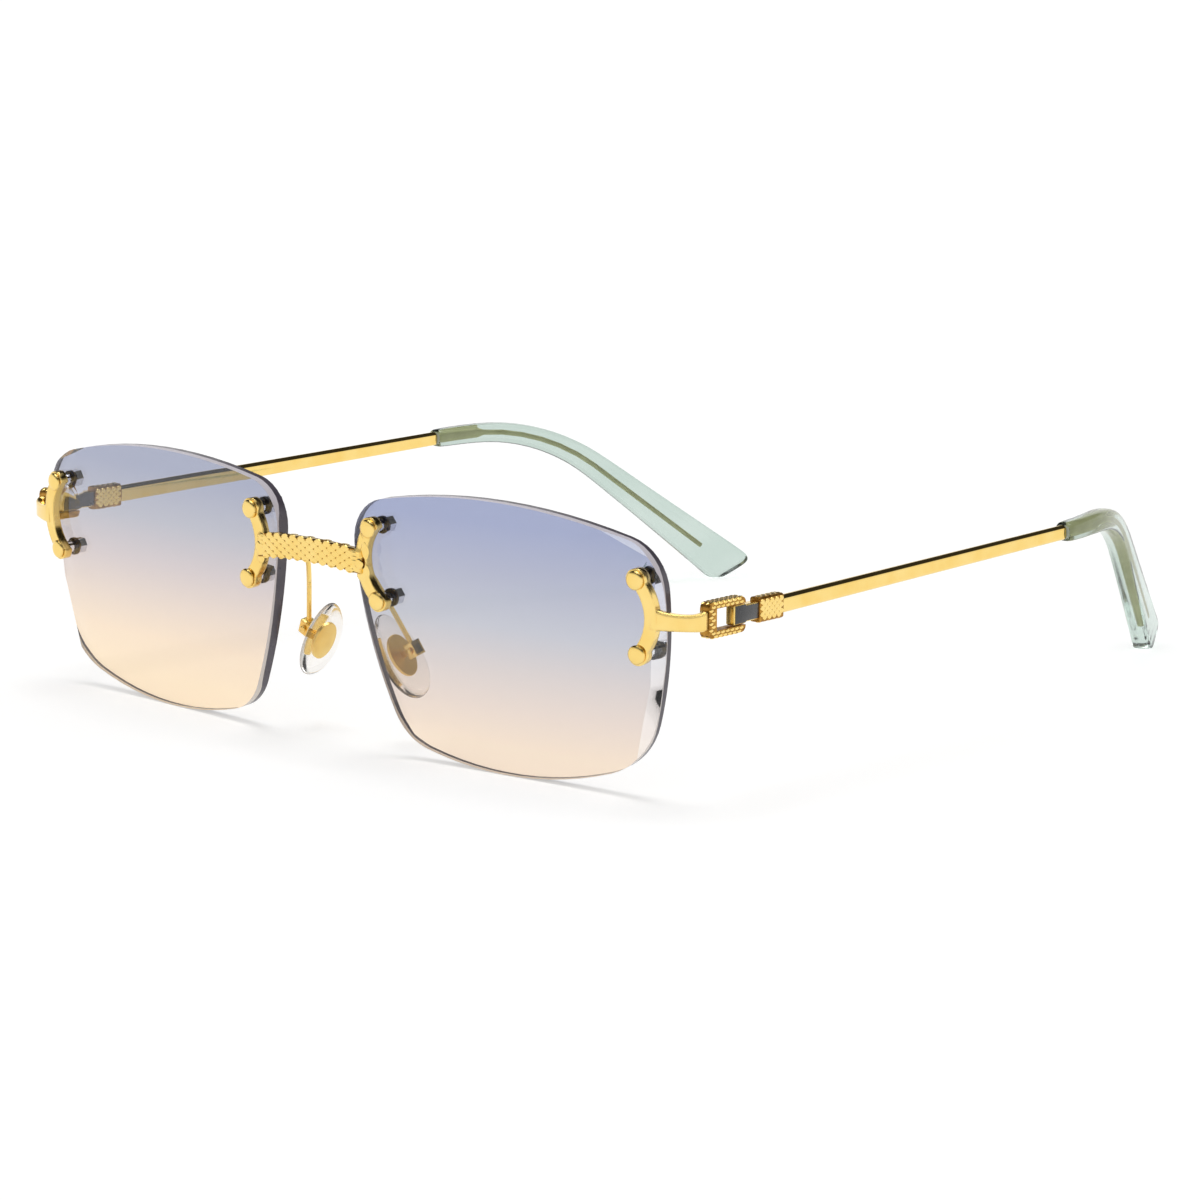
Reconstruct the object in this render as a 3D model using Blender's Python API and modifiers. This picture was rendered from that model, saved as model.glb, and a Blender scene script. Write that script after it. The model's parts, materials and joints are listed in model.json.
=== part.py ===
"""Rimless sunglasses: two tinted lenses hung on a bridge and two end pieces, with folding temples.

Metres, +Z up. The lenses face -Y, the temples run back along +Y, and +X is the wearer's left.
The glasses stand open on Z = 0, on the lower edges of the lenses and on the temple tips.
The left half is modelled and the right half is its mirror image.
"""

from math import atan2, ceil, cos, pi, radians, sin, sqrt

import bmesh
import bpy
from mathutils import Matrix, Vector

MM = 0.001

# Gaps: between pieces that touch, round a fastener, and between pieces that turn on each other
SEAT_GAP = 0.1 * MM
FIT_GAP = 0.08 * MM
TURN_GAP = 0.1 * MM

# Lens outline: where its four arched sides would meet, from the middle of the lens
LENS_TOP_INNER = 27.7 * MM
LENS_TOP_OUTER = 27.7 * MM
LENS_BOTTOM_OUTER = 24.1 * MM
LENS_BOTTOM_INNER = 19.0 * MM
LENS_TOP_INNER_RISE = 17.1 * MM
LENS_TOP_OUTER_RISE = 15.9 * MM
LENS_BOTTOM_OUTER_DROP = 15.1 * MM
LENS_BOTTOM_INNER_DROP = 17.1 * MM
LENS_TOP_ARCH = 3.8 * MM
LENS_OUTER_ARCH = 2.2 * MM
LENS_BOTTOM_ARCH = 3.9 * MM
LENS_INNER_ARCH = 2.1 * MM
LENS_TOP_INNER_RADIUS = 6.8 * MM
LENS_TOP_OUTER_RADIUS = 8.0 * MM
LENS_BOTTOM_OUTER_RADIUS = 11.5 * MM
LENS_BOTTOM_INNER_RADIUS = 8.7 * MM

# Lens body and stance
LENS_THICKNESS = 2.2 * MM
LENS_CURVE_RADIUS = 440.0 * MM
LENS_SPACING = 16.1 * MM
LENS_WRAP = radians(4.8)
LENS_LEAN = radians(4.0)

# Ground facets on the lens's outer edge: the way each faces, how far it comes in, and its slope
FACETS = (
    (radians(66.0), 1.15 * MM),
    (radians(-3.4), 1.95 * MM),
    (radians(-14.8), 1.75 * MM),
)
FACET_SLOPE = radians(32.0)

# Crescent straps that carry the lenses
STRAP_THICKNESS = 1.3 * MM
STRAP_EYE_RADIUS = 1.65 * MM
STRAP_EYE_SPACING = 10.7 * MM
STRAP_WIDTH = 2.0 * MM
STRAP_BOW = 2.3 * MM
OUTER_STRAP_INSET = 3.5 * MM
OUTER_STRAP_HEIGHT = 6.8 * MM
INNER_STRAP_INSET = 4.6 * MM
INNER_STRAP_HEIGHT = 8.8 * MM
INNER_STRAP_LEAN = radians(6.5)

# Lens fasteners
SCREW_RADIUS = 0.5 * MM
SCREW_HEAD_RADIUS = 1.4 * MM
SCREW_HEAD_HEIGHT = 0.6 * MM
BUSH_WALL = 0.25 * MM
WASHER_RADIUS = 1.35 * MM
WASHER_THICKNESS = 0.6 * MM
NUT_ACROSS_FLATS = 2.2 * MM
NUT_HEIGHT = 1.3 * MM

# Bridge bar
BRIDGE_THICKNESS = 1.5 * MM
BRIDGE_STAND_OFF = 0.2 * MM
BRIDGE_END_HEIGHT = 3.6 * MM
BRIDGE_MIDDLE_HEIGHT = 3.4 * MM
BRIDGE_ARCH = 0.7 * MM
BRIDGE_BOW = 0.6 * MM
BRIDGE_RAISE = 0.35 * MM
EDGE_CHAMFER = 0.25 * MM

# End piece arm
ARM_THICKNESS = 1.4 * MM
ARM_ROOT_HEIGHT = 3.3 * MM
ARM_END_HEIGHT = 2.9 * MM
ARM_LEAD = 1.8 * MM
ARM_TURN = 1.0 * MM
ARM_WAIST = 0.7 * MM

# Hinge, from the middle of the outer strap
HINGE_OUT = 6.2 * MM
HINGE_BACK = 10.6 * MM
HINGE_PIN_RADIUS = 0.4 * MM
HINGE_HEAD_RADIUS = 0.6 * MM
HINGE_HEAD_HEIGHT = 0.4 * MM
HINGE_THREAD_DEPTH = 0.55 * MM

# Buckle, link and collar, along the temple
BUCKLE_THICKNESS = 1.7 * MM
BUCKLE_BAR = 1.8 * MM
BUCKLE_RAIL = 1.0 * MM
BUCKLE_WINDOW = 3.95 * MM
BUCKLE_CORNER = 0.9 * MM
LINK_THICKNESS = 1.5 * MM
LINK_HEAD_LENGTH = 2.5 * MM
LINK_HEAD_HEIGHT = 2.9 * MM
LINK_NECK_LENGTH = 2.95 * MM
LINK_NECK_HEIGHT = 2.5 * MM
TANG_THICKNESS = 0.9 * MM
TANG_HEIGHT = 1.5 * MM
TANG_LENGTH = 2.0 * MM
COLLAR_LENGTH = 5.4 * MM
COLLAR_HEIGHT = 3.6 * MM
COLLAR_THICKNESS = 1.9 * MM

# Temple bar and its run: it rises, then drops and toes in behind the ear
TEMPLE_TOE = radians(1.6)
TEMPLE_RISE = radians(1.05)
BAR_LENGTH = 70.0 * MM
BAR_FRONT_HEIGHT = 2.6 * MM
BAR_REAR_HEIGHT = 2.3 * MM
BAR_FRONT_THICKNESS = 1.7 * MM
BAR_REAR_THICKNESS = 1.5 * MM
BAR_EDGE = 0.7 * MM
STRAIGHT_PAST_BAR = 9.5 * MM
BEND_RADIUS = 36.0 * MM
DROP_ANGLE = radians(37.0)
TOE_IN_ANGLE = radians(23.5)
TOE_IN_LENGTH = 16.0 * MM

# Temple tip and the core wire in it
TIP_THICKNESS = 3.4 * MM
TIP_FRONT_HEIGHT = 3.1 * MM
TIP_END_HEIGHT = 7.7 * MM
TIP_SLANT = radians(30.0)
TIP_SLANT_LENGTH = 12.0 * MM
TIP_CORNER = 2.0 * MM
TIP_EDGE = 0.9 * MM
TIP_FLAT_DEPTH = 0.3 * MM
STUB_LENGTH = 9.0 * MM
STUB_HEIGHT = 1.4 * MM
STUB_THICKNESS = 1.0 * MM
CORE_HEIGHT = 0.8 * MM
CORE_THICKNESS = 0.7 * MM
CORE_TO_END = 8.0 * MM
CORE_SLOT = 2.0 * MM

# Nose pads: the rocking axis from the lens's inner edge, the lens plane and the bridge
PAD_AXIS_PAST_EDGE = 3.55 * MM
PAD_AXIS_BACK = 7.7 * MM
PAD_AXIS_DROP = 14.1 * MM
PAD_SPLAY = radians(3.0)
PAD_FLARE = radians(27.0)
PAD_LEAN = radians(12.5)
PAD_LENGTH = 13.6 * MM
PAD_WIDTH = 8.0 * MM
PAD_THICKNESS = 2.7 * MM
PAD_TAPER = 0.16
PAD_REACH = 3.2 * MM
INSERT_LENGTH = 6.6 * MM
INSERT_WIDTH = 4.2 * MM
INSERT_THICKNESS = 0.6 * MM
STEM_WIDTH = 0.8 * MM
STEM_HEIGHT = 1.0 * MM
STEM_ROCK_ROOM = 0.25 * MM
BOX_WALL = 0.4 * MM
BOX_DEPTH = 1.9 * MM
PAD_PIN_RADIUS = 0.25 * MM
PAD_HEAD_RADIUS = 0.5 * MM
PAD_HEAD_HEIGHT = 0.3 * MM
PAD_WIRE_RADIUS = 0.4 * MM
PAD_WIRE_FROM_EDGE = 2.15 * MM
PAD_WIRE_DROP = 0.2 * MM
PAD_WIRE_BACK = 5.0 * MM

# Facets of the curved surfaces
SIDE_STEPS = 12
CORNER_STEPS = 8
LENS_RINGS = 4
ROUND_SIDES = 16
PATH_STEP = 2.0 * MM

OBJECT_NAME = "rimless_sunglasses"
CUT_MARGIN = 2.0 * MM
MERGE = 0.001 * MM


def clear_scene():
    """Removes every object, so that the script can be run again."""
    for old in list(bpy.data.objects):
        bpy.data.objects.remove(old)


clear_scene()
PARTS = bpy.data.collections.new(OBJECT_NAME)
bpy.context.scene.collection.children.link(PARTS)


def material(name, colour, roughness, metallic):
    """A plain Principled material."""
    made = bpy.data.materials.new(name)
    made.use_nodes = True
    shader = made.node_tree.nodes["Principled BSDF"]
    shader.inputs["Base Color"].default_value = (*colour, 1.0)
    shader.inputs["Roughness"].default_value = roughness
    shader.inputs["Metallic"].default_value = metallic
    return made


FINISHES = {
    "gold": ((0.94, 0.68, 0.24), 0.18, 1.0),
    "tinted_lens": ((0.62, 0.63, 0.72), 0.05, 0.0),
    "clear_plastic": ((0.85, 0.85, 0.85), 0.1, 0.0),
    "dark_washer": ((0.05, 0.05, 0.05), 0.4, 0.0),
    "steel": ((0.6, 0.6, 0.62), 0.2, 1.0),
    "black_enamel": ((0.03, 0.03, 0.035), 0.2, 0.0),
    "acetate": ((0.58, 0.76, 0.68), 0.15, 0.0),
    "silicone": ((0.9, 0.9, 0.88), 0.2, 0.0),
}


def add_object(name, mesh):
    made = bpy.data.objects.new(name, mesh)
    PARTS.objects.link(made)
    return made


def from_bmesh(name, shape):
    """Turns a bmesh into an object, with its faces pointing out."""
    bmesh.ops.recalc_face_normals(shape, faces=shape.faces)
    mesh = bpy.data.meshes.new(name)
    shape.to_mesh(mesh)
    shape.free()
    return add_object(name, mesh)


def baked(source):
    """Replaces an object by a welded mesh of it as it is evaluated."""
    graph = bpy.context.evaluated_depsgraph_get()
    mesh = bpy.data.meshes.new_from_object(source.evaluated_get(graph))
    shape = bmesh.new()
    shape.from_mesh(mesh)
    bmesh.ops.remove_doubles(shape, verts=shape.verts, dist=MERGE)
    place = source.matrix_world.copy()
    name = source.name
    bpy.data.objects.remove(source)
    made = from_bmesh(name, shape)
    made.matrix_world = place
    return made


def moved(piece, place):
    """Puts an object's mesh where a matrix takes it."""
    piece.data.transform(place)
    piece.data.update()
    return piece


def combine(target, tool, operation):
    """Cuts or joins one object with another and removes the other."""
    change = target.modifiers.new("change", "BOOLEAN")
    change.operation = operation
    change.solver = "EXACT"
    change.object = tool
    made = baked(target)
    bpy.data.objects.remove(tool)
    return made


def cut(target, tool):
    return combine(target, tool, "DIFFERENCE")


def join(target, other):
    return combine(target, other, "UNION")


def plate(name, outline, low, high):
    """A flat outline in the XY plane, thick from one height to another."""
    data = bpy.data.curves.new(name, "CURVE")
    data.dimensions = "2D"
    data.fill_mode = "BOTH"
    data.extrude = (high - low) / 2
    spline = data.splines.new("POLY")
    spline.points.add(len(outline) - 1)
    for point, (x, y) in zip(spline.points, outline):
        point.co = (x, y, 0.0, 1.0)
    spline.use_cyclic_u = True
    return moved(baked(add_object(name, data)), Matrix.Translation((0, 0, (low + high) / 2)))


def turned(name, profile, sides=ROUND_SIDES):
    """A profile of (radius, height) points, turned about Z. A closed profile makes a ring."""
    closed = profile[0] == profile[-1]
    points = profile[:-1] if closed else profile
    mesh = bpy.data.meshes.new(name)
    edges = [(i, i + 1) for i in range(len(points) - 1)]
    if closed:
        edges.append((len(points) - 1, 0))
    mesh.from_pydata([(radius, 0, height) for radius, height in points], edges, [])
    made = add_object(name, mesh)
    screw = made.modifiers.new("turn", "SCREW")
    screw.steps = sides
    screw.render_steps = sides
    screw.use_merge_vertices = True
    screw.merge_threshold = MERGE
    return baked(made)


def ring_tube(name, inner, outer, low, high):
    return turned(name, [(outer, high), (outer, low), (inner, low), (inner, high), (outer, high)])


def rod(name, radius, low, high, sides=ROUND_SIDES):
    return turned(name, [(0, high), (radius, high), (radius, low), (0, low)], sides)


def block(name, low, high):
    """A box between two corners."""
    shape = bmesh.new()
    bmesh.ops.create_cube(shape, size=1.0)
    size = [b - a for a, b in zip(low, high)]
    middle = [(a + b) / 2 for a, b in zip(low, high)]
    bmesh.ops.scale(shape, vec=size, verts=shape.verts)
    bmesh.ops.translate(shape, vec=middle, verts=shape.verts)
    return from_bmesh(name, shape)


def loft(name, rings):
    """A closed skin through rings of equally many points, capped at both ends."""
    shape = bmesh.new()
    rows = [[shape.verts.new(point) for point in ring] for ring in rings]
    count = len(rows[0])
    for near, far in zip(rows, rows[1:]):
        for i in range(count):
            j = (i + 1) % count
            shape.faces.new((near[i], near[j], far[j], far[i]))
    shape.faces.new(rows[0])
    shape.faces.new(rows[-1])
    bmesh.ops.remove_doubles(shape, verts=shape.verts, dist=MERGE)
    bmesh.ops.triangulate(shape, faces=[face for face in shape.faces if len(face.verts) > 4])
    return from_bmesh(name, shape)


def section(width, height, edge, steps=1):
    """A rectangle about the origin with its corners rounded, or chamfered with one step."""
    points = []
    for k, (side_x, side_y) in enumerate(((1, 1), (-1, 1), (-1, -1), (1, -1))):
        for i in range(steps + 1):
            angle = (k + i / steps) * pi / 2
            x = side_x * (width / 2 - edge) + edge * cos(angle)
            y = side_y * (height / 2 - edge) + edge * sin(angle)
            points.append((x, y))
    return points


def across(frame, points):
    """Puts (sideways, upward) points into the plane across a frame that runs along its Y."""
    return [frame @ Vector((x, 0, z)) for x, z in points]


def stepped_bar(name, stations):
    """A bar along Y whose width and height change at the stations (y, width, height, edge)."""
    rings = []
    for y, width, height, edge in stations:
        rings.append(across(Matrix.Translation((0, y, 0)), section(width, height, edge)))
    return loft(name, rings)


def bezier(start, lead, tail, end, t):
    s = 1 - t
    return s**3 * start + 3 * s * s * t * lead + 3 * s * t * t * tail + t**3 * end


def bezier_direction(start, lead, tail, end, t):
    s = 1 - t
    return (s * s * (lead - start) + 2 * s * t * (tail - lead) + t * t * (end - tail)).normalized()


def mirrored(piece, name):
    """The same piece on the other side of the middle plane."""
    shape = bmesh.new()
    shape.from_mesh(piece.data)
    bmesh.ops.scale(shape, vec=(-1, 1, 1), verts=shape.verts)
    return from_bmesh(name, shape)


def arch_centre(start, end, rise):
    """Centre and radius of the arc from start to end that bulges to the right of its chord."""
    chord = end - start
    half = chord.length / 2
    radius = (half * half + rise * rise) / (2 * rise)
    outward = Vector((chord.y, -chord.x)).normalized()
    return (start + end) / 2 - outward * (radius - rise), radius


def circles_meet(first, first_radius, second, second_radius, near):
    """Where two circles meet, of the two points the one nearer to a given point."""
    gap = second - first
    along = (first_radius**2 - second_radius**2 + gap.length_squared) / (2 * gap.length)
    aside = sqrt(first_radius**2 - along**2)
    foot = first + gap.normalized() * along
    normal = Vector((-gap.y, gap.x)).normalized()
    return min((foot + normal * aside, foot - normal * aside), key=lambda point: (point - near).length)


def arc_points(centre, start, end, steps, long_way=False):
    """Points along an arc, anticlockwise, without the last one."""
    begin = atan2(start.y - centre.y, start.x - centre.x)
    turn = (atan2(end.y - centre.y, end.x - centre.x) - begin) % (2 * pi)
    if not long_way and turn > pi:
        turn -= 2 * pi
    radius = (start - centre).length
    angles = [begin + turn * i / steps for i in range(steps)]
    return [centre + radius * Vector((cos(angle), sin(angle))) for angle in angles]


def lens_outline():
    """The lens seen from the front, anticlockwise, with its outer side at +X."""
    corners = [
        (
            Vector((-LENS_BOTTOM_INNER, -LENS_BOTTOM_INNER_DROP)),
            LENS_BOTTOM_INNER_RADIUS,
            LENS_BOTTOM_ARCH,
        ),
        (
            Vector((LENS_BOTTOM_OUTER, -LENS_BOTTOM_OUTER_DROP)),
            LENS_BOTTOM_OUTER_RADIUS,
            LENS_OUTER_ARCH,
        ),
        (Vector((LENS_TOP_OUTER, LENS_TOP_OUTER_RISE)), LENS_TOP_OUTER_RADIUS, LENS_TOP_ARCH),
        (Vector((-LENS_TOP_INNER, LENS_TOP_INNER_RISE)), LENS_TOP_INNER_RADIUS, LENS_INNER_ARCH),
    ]
    count = len(corners)
    sides = [arch_centre(corners[i][0], corners[(i + 1) % count][0], corners[i][2]) for i in range(count)]
    turns = []
    for i, (corner, radius, _) in enumerate(corners):
        (before, before_radius), (after, after_radius) = sides[i - 1], sides[i]
        centre = circles_meet(before, before_radius - radius, after, after_radius - radius, corner)
        enter = before + (centre - before).normalized() * before_radius
        leave = after + (centre - after).normalized() * after_radius
        turns.append((centre, enter, leave))
    points = []
    for i, (centre, enter, leave) in enumerate(turns):
        points += arc_points(centre, enter, leave, CORNER_STEPS)
        points += arc_points(sides[i][0], leave, turns[(i + 1) % count][1], SIDE_STEPS)
    return points


OUTLINE = lens_outline()


def lens_dip(point):
    """How far the lens's front surface lies behind its middle."""
    return LENS_CURVE_RADIUS - sqrt(LENS_CURVE_RADIUS**2 - point.length_squared)


def lens_normal(point):
    depth = LENS_CURVE_RADIUS - lens_dip(point)
    return Vector((point.x, point.y, depth)) / LENS_CURVE_RADIUS


def lens_surface(point, depth=0.0):
    """A point of the lens's front surface, or at a depth behind it."""
    return Vector((point.x, point.y, -lens_dip(point))) - lens_normal(point) * depth


def lens_place():
    """The left lens's frame: X outward, Y up the lens, Z out of its front."""
    turn = Matrix.Rotation(LENS_WRAP, 4, "Z") @ Matrix.Rotation(pi / 2 + LENS_LEAN, 4, "X")
    rim = [turn @ lens_surface(point) for point in OUTLINE]
    out = LENS_SPACING / 2 - min(point.x for point in rim)
    up = -min(point.z for point in rim)
    return Matrix.Translation((out, 0, up)) @ turn


LENS = lens_place()


def lens_edge(height, side):
    """Where the outline crosses a height, on the outer side (1) or the inner side (-1)."""
    found = []
    for here, there in zip(OUTLINE, OUTLINE[1:] + OUTLINE[:1]):
        if (here.y - height) * (there.y - height) <= 0 and here.x * side > 0 and here.y != there.y:
            share = (height - here.y) / (there.y - here.y)
            found.append(here.x + share * (there.x - here.x))
    return max(found, key=lambda x: x * side)


def strap_place(middle, roll):
    """A strap's frame on the lens: X towards the lens's edge, Z out of the lens's front."""
    normal = lens_normal(middle)
    sideways = (Vector((1, 0, 0)) - normal * normal.x).normalized()
    axes = Matrix((sideways, normal.cross(sideways), normal)).transposed().to_4x4()
    here = Matrix.Translation(lens_surface(middle))
    return LENS @ here @ axes @ Matrix.Rotation(roll, 4, "Z")


OUTER_STRAP = strap_place(
    Vector((lens_edge(OUTER_STRAP_HEIGHT, 1) - OUTER_STRAP_INSET, OUTER_STRAP_HEIGHT)), 0.0
)
INNER_STRAP = strap_place(
    Vector((lens_edge(INNER_STRAP_HEIGHT, -1) + INNER_STRAP_INSET, INNER_STRAP_HEIGHT)), pi + INNER_STRAP_LEAN
)

# Heights in a strap's frame, from the lens's front: what lies under a strap's eye, front to back
EYE_DIP = STRAP_EYE_SPACING**2 / (8 * LENS_CURVE_RADIUS)
STRAP_BACK = SEAT_GAP
STRAP_FRONT = STRAP_BACK + STRAP_THICKNESS
HEAD_BACK = STRAP_FRONT + SEAT_GAP
BUSH_FRONT = -EYE_DIP - SEAT_GAP
BUSH_BACK = -LENS_THICKNESS + SEAT_GAP
WASHER_FRONT = -LENS_THICKNESS - EYE_DIP - SEAT_GAP
WASHER_BACK = WASHER_FRONT - WASHER_THICKNESS
NUT_FRONT = WASHER_BACK - SEAT_GAP
NUT_BACK = NUT_FRONT - NUT_HEIGHT
SCREW_HOLE_RADIUS = SCREW_RADIUS + FIT_GAP
BUSH_RADIUS = SCREW_HOLE_RADIUS + BUSH_WALL
LENS_HOLE_RADIUS = BUSH_RADIUS + FIT_GAP


def eye_places(strap):
    """Frames on the two screw axes of a strap, upper one first."""
    ends = [strap @ Matrix.Translation((0, side * STRAP_EYE_SPACING / 2, 0)) for side in (1, -1)]
    return sorted(ends, key=lambda place: -place.translation.z)


def make_lens():
    """A dished plate with the outline's edge, drilled for the screws and with its facets ground."""
    shape = bmesh.new()
    surfaces = []
    for depth in (0.0, LENS_THICKNESS):
        middle = shape.verts.new(lens_surface(Vector((0, 0)), depth))
        rings = []
        for ring in range(LENS_RINGS, 0, -1):
            share = ring / LENS_RINGS
            rings.append([shape.verts.new(lens_surface(point * share, depth)) for point in OUTLINE])
        surfaces.append((middle, rings))
    count = len(OUTLINE)
    for i in range(count):
        j = (i + 1) % count
        for middle, rings in surfaces:
            for outer, inner in zip(rings, rings[1:]):
                shape.faces.new((outer[i], outer[j], inner[j], inner[i]))
            shape.faces.new((rings[-1][i], rings[-1][j], middle))
        front, back = surfaces[0][1][0], surfaces[1][1][0]
        shape.faces.new((front[i], front[j], back[j], back[i]))
    lens = moved(from_bmesh("lens_left", shape), LENS)
    for facing, width in FACETS:
        lens = cut(lens, facet_cutter(facing, width))
    for strap in (OUTER_STRAP, INNER_STRAP):
        for eye in eye_places(strap):
            hole = rod("hole", LENS_HOLE_RADIUS, -LENS_THICKNESS - CUT_MARGIN, CUT_MARGIN)
            lens = cut(lens, moved(hole, eye))
    return lens


def facet_cutter(facing, width):
    """A block whose underside is the plane of one facet."""
    outward = Vector((cos(facing), sin(facing)))
    line = max(point.dot(outward) for point in OUTLINE) - width
    reach = 2 * LENS_TOP_OUTER
    cutter = block("facet", (-reach, -reach, 0), (reach, reach, LENS_TOP_OUTER))
    turn = Matrix.Rotation(facing, 4, "Z") @ Matrix.Rotation(FACET_SLOPE, 4, "Y")
    start = Matrix.Translation(lens_surface(outward * line))
    return moved(cutter, LENS @ start @ turn)


def crescent(name):
    """The two-eyed strap: two round eyes joined by a band that bows towards the lens's edge."""
    half = STRAP_EYE_SPACING / 2
    radius = (half * half + STRAP_BOW**2) / (2 * STRAP_BOW)
    centre = Vector((STRAP_BOW - radius, 0))
    eyes = [Vector((0, half)), Vector((0, -half))]
    outer = radius + STRAP_WIDTH / 2
    inner = radius - STRAP_WIDTH / 2
    outside = Vector((outer, 0))
    inside = centre
    outer_top, outer_bottom = [
        circles_meet(centre, outer, eye, STRAP_EYE_RADIUS, outside) for eye in eyes
    ]
    inner_top, inner_bottom = [
        circles_meet(centre, inner, eye, STRAP_EYE_RADIUS, inside) for eye in eyes
    ]
    outline = arc_points(centre, outer_bottom, outer_top, SIDE_STEPS)
    outline += arc_points(eyes[0], outer_top, inner_top, ROUND_SIDES, long_way=True)
    outline += arc_points(centre, inner_top, inner_bottom, SIDE_STEPS)
    outline += arc_points(eyes[1], inner_bottom, outer_bottom, ROUND_SIDES, long_way=True)
    return plate(name, [(point.x, point.y) for point in outline], STRAP_BACK, STRAP_FRONT)


def drill_eyes(piece, strap):
    for eye in eye_places(strap):
        hole = rod("hole", SCREW_HOLE_RADIUS, STRAP_BACK - CUT_MARGIN, STRAP_FRONT + CUT_MARGIN)
        piece = cut(piece, moved(hole, eye))
    return piece


def bridge_waist():
    """The middle of the left end of the bridge bar."""
    forward = STRAP_BACK + BRIDGE_STAND_OFF + BRIDGE_THICKNESS / 2
    return INNER_STRAP @ Vector((STRAP_BOW, 0, forward)) + Vector((0, 0, BRIDGE_RAISE))


def bridge_point(share):
    """The bridge bar's centreline, from the right end (-1) to the left end (1)."""
    end = bridge_waist()
    lift = 1 - share * share
    return Vector((end.x * share, end.y - BRIDGE_BOW * lift, end.z + BRIDGE_ARCH * lift))


def make_bridge():
    strap = drill_eyes(moved(crescent("bridge"), INNER_STRAP), INNER_STRAP)
    other = mirrored(strap, "other_strap")
    rings = []
    for i in range(SIDE_STEPS + 1):
        share = 2 * i / SIDE_STEPS - 1
        height = BRIDGE_MIDDLE_HEIGHT + (BRIDGE_END_HEIGHT - BRIDGE_MIDDLE_HEIGHT) * share * share
        place = Matrix.Translation(bridge_point(share)) @ Matrix.Rotation(pi / 2, 4, "Z")
        rings.append(across(place, section(BRIDGE_THICKNESS, height, EDGE_CHAMFER)))
    return join(join(strap, loft("bar", rings)), other)


def strap_waist():
    """The middle of the outer strap, where the end piece's arm leaves it."""
    return OUTER_STRAP @ Vector((STRAP_BOW, 0, STRAP_BACK + STRAP_THICKNESS / 2))


# The temple's frame on the hinge axis: Y along the temple, Z up
HINGE = Matrix.Translation(strap_waist() + Vector((HINGE_OUT, HINGE_BACK, 0)))
TEMPLE = HINGE @ Matrix.Rotation(TEMPLE_TOE, 4, "Z")

# Distances along the temple from the hinge axis, and heights about its middle
HEAD_FRONT = -LINK_HEAD_LENGTH / 2
HEAD_REAR = LINK_HEAD_LENGTH / 2
WINDOW_FRONT = HEAD_FRONT - BUCKLE_WINDOW
BUCKLE_FRONT = WINDOW_FRONT - BUCKLE_BAR
BUCKLE_REAR = HEAD_REAR
NECK_REAR = HEAD_REAR + LINK_NECK_LENGTH
COLLAR_FRONT = NECK_REAR + SEAT_GAP
COLLAR_REAR = COLLAR_FRONT + COLLAR_LENGTH
BAR_FRONT = COLLAR_REAR + SEAT_GAP
TIP_FRONT = BAR_FRONT + BAR_LENGTH
BEND_START = TIP_FRONT + STRAIGHT_PAST_BAR
BEND_LENGTH = BEND_RADIUS * (DROP_ANGLE + TEMPLE_RISE)
WINDOW_HALF = LINK_HEAD_HEIGHT / 2 + TURN_GAP
RAIL_TOP = WINDOW_HALF + BUCKLE_RAIL


def make_end_piece():
    """The outer strap with the arm that sweeps out and back to the buckle."""
    start = strap_waist()
    end = TEMPLE @ Vector((0, BUCKLE_FRONT - SEAT_GAP, 0))
    lead = start + OUTER_STRAP.to_3x3() @ Vector((ARM_LEAD, 0, 0))
    tail = end - TEMPLE.to_3x3() @ Vector((0, ARM_TURN, 0))
    rings = []
    for i in range(SIDE_STEPS + 1):
        t = i / SIDE_STEPS
        heading = bezier_direction(start, lead, tail, end, t)
        turn = Matrix.Rotation(atan2(-heading.x, heading.y), 4, "Z")
        waist = ARM_WAIST * 4 * t * (1 - t)
        place = Matrix.Translation(bezier(start, lead, tail, end, t) - Vector((0, 0, waist / 2))) @ turn
        height = ARM_ROOT_HEIGHT + (ARM_END_HEIGHT - ARM_ROOT_HEIGHT) * t - waist
        rings.append(across(place, section(ARM_THICKNESS, height, EDGE_CHAMFER)))
    strap = moved(crescent("end_piece_left"), OUTER_STRAP)
    return drill_eyes(join(strap, loft("arm", rings)), OUTER_STRAP)


def make_buckle():
    """A C-shaped clevis, open to the rear, with rounded outer corners and the hinge screw's holes."""
    outer = section(BUCKLE_REAR - BUCKLE_FRONT, 2 * RAIL_TOP, BUCKLE_CORNER, 3)
    middle = (BUCKLE_REAR + BUCKLE_FRONT) / 2
    half = BUCKLE_THICKNESS / 2
    body = plate("buckle_left", [(y + middle, z) for y, z in outer], -half, half)
    upright = Matrix(((0, 0, 1, 0), (1, 0, 0, 0), (0, 1, 0, 0), (0, 0, 0, 1)))
    body = moved(body, upright)
    reach = BUCKLE_THICKNESS
    low = (-reach, WINDOW_FRONT, -WINDOW_HALF)
    body = cut(body, block("window", low, (reach, BUCKLE_REAR + reach, WINDOW_HALF)))
    thread_end = WINDOW_HALF + HINGE_THREAD_DEPTH
    pin_hole = rod("pin_hole", HINGE_PIN_RADIUS + FIT_GAP, -RAIL_TOP - CUT_MARGIN, thread_end)
    body = cut(body, pin_hole)
    recess_top = -RAIL_TOP + HINGE_HEAD_HEIGHT + FIT_GAP
    recess = rod("recess", HINGE_HEAD_RADIUS + FIT_GAP, -RAIL_TOP - CUT_MARGIN, recess_top)
    return moved(cut(body, recess), TEMPLE)


def make_hinge_screw():
    """Set in from below: a flush head, and a pin whose end is threaded in the top rail."""
    head_low = -RAIL_TOP
    head_high = head_low + HINGE_HEAD_HEIGHT
    end = WINDOW_HALF + HINGE_THREAD_DEPTH - FIT_GAP
    profile = [(0, end), (HINGE_PIN_RADIUS, end), (HINGE_PIN_RADIUS, head_high)]
    profile += [(HINGE_HEAD_RADIUS, head_high), (HINGE_HEAD_RADIUS, head_low), (0, head_low)]
    return moved(turned("hinge_screw_left", profile), TEMPLE)


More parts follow.
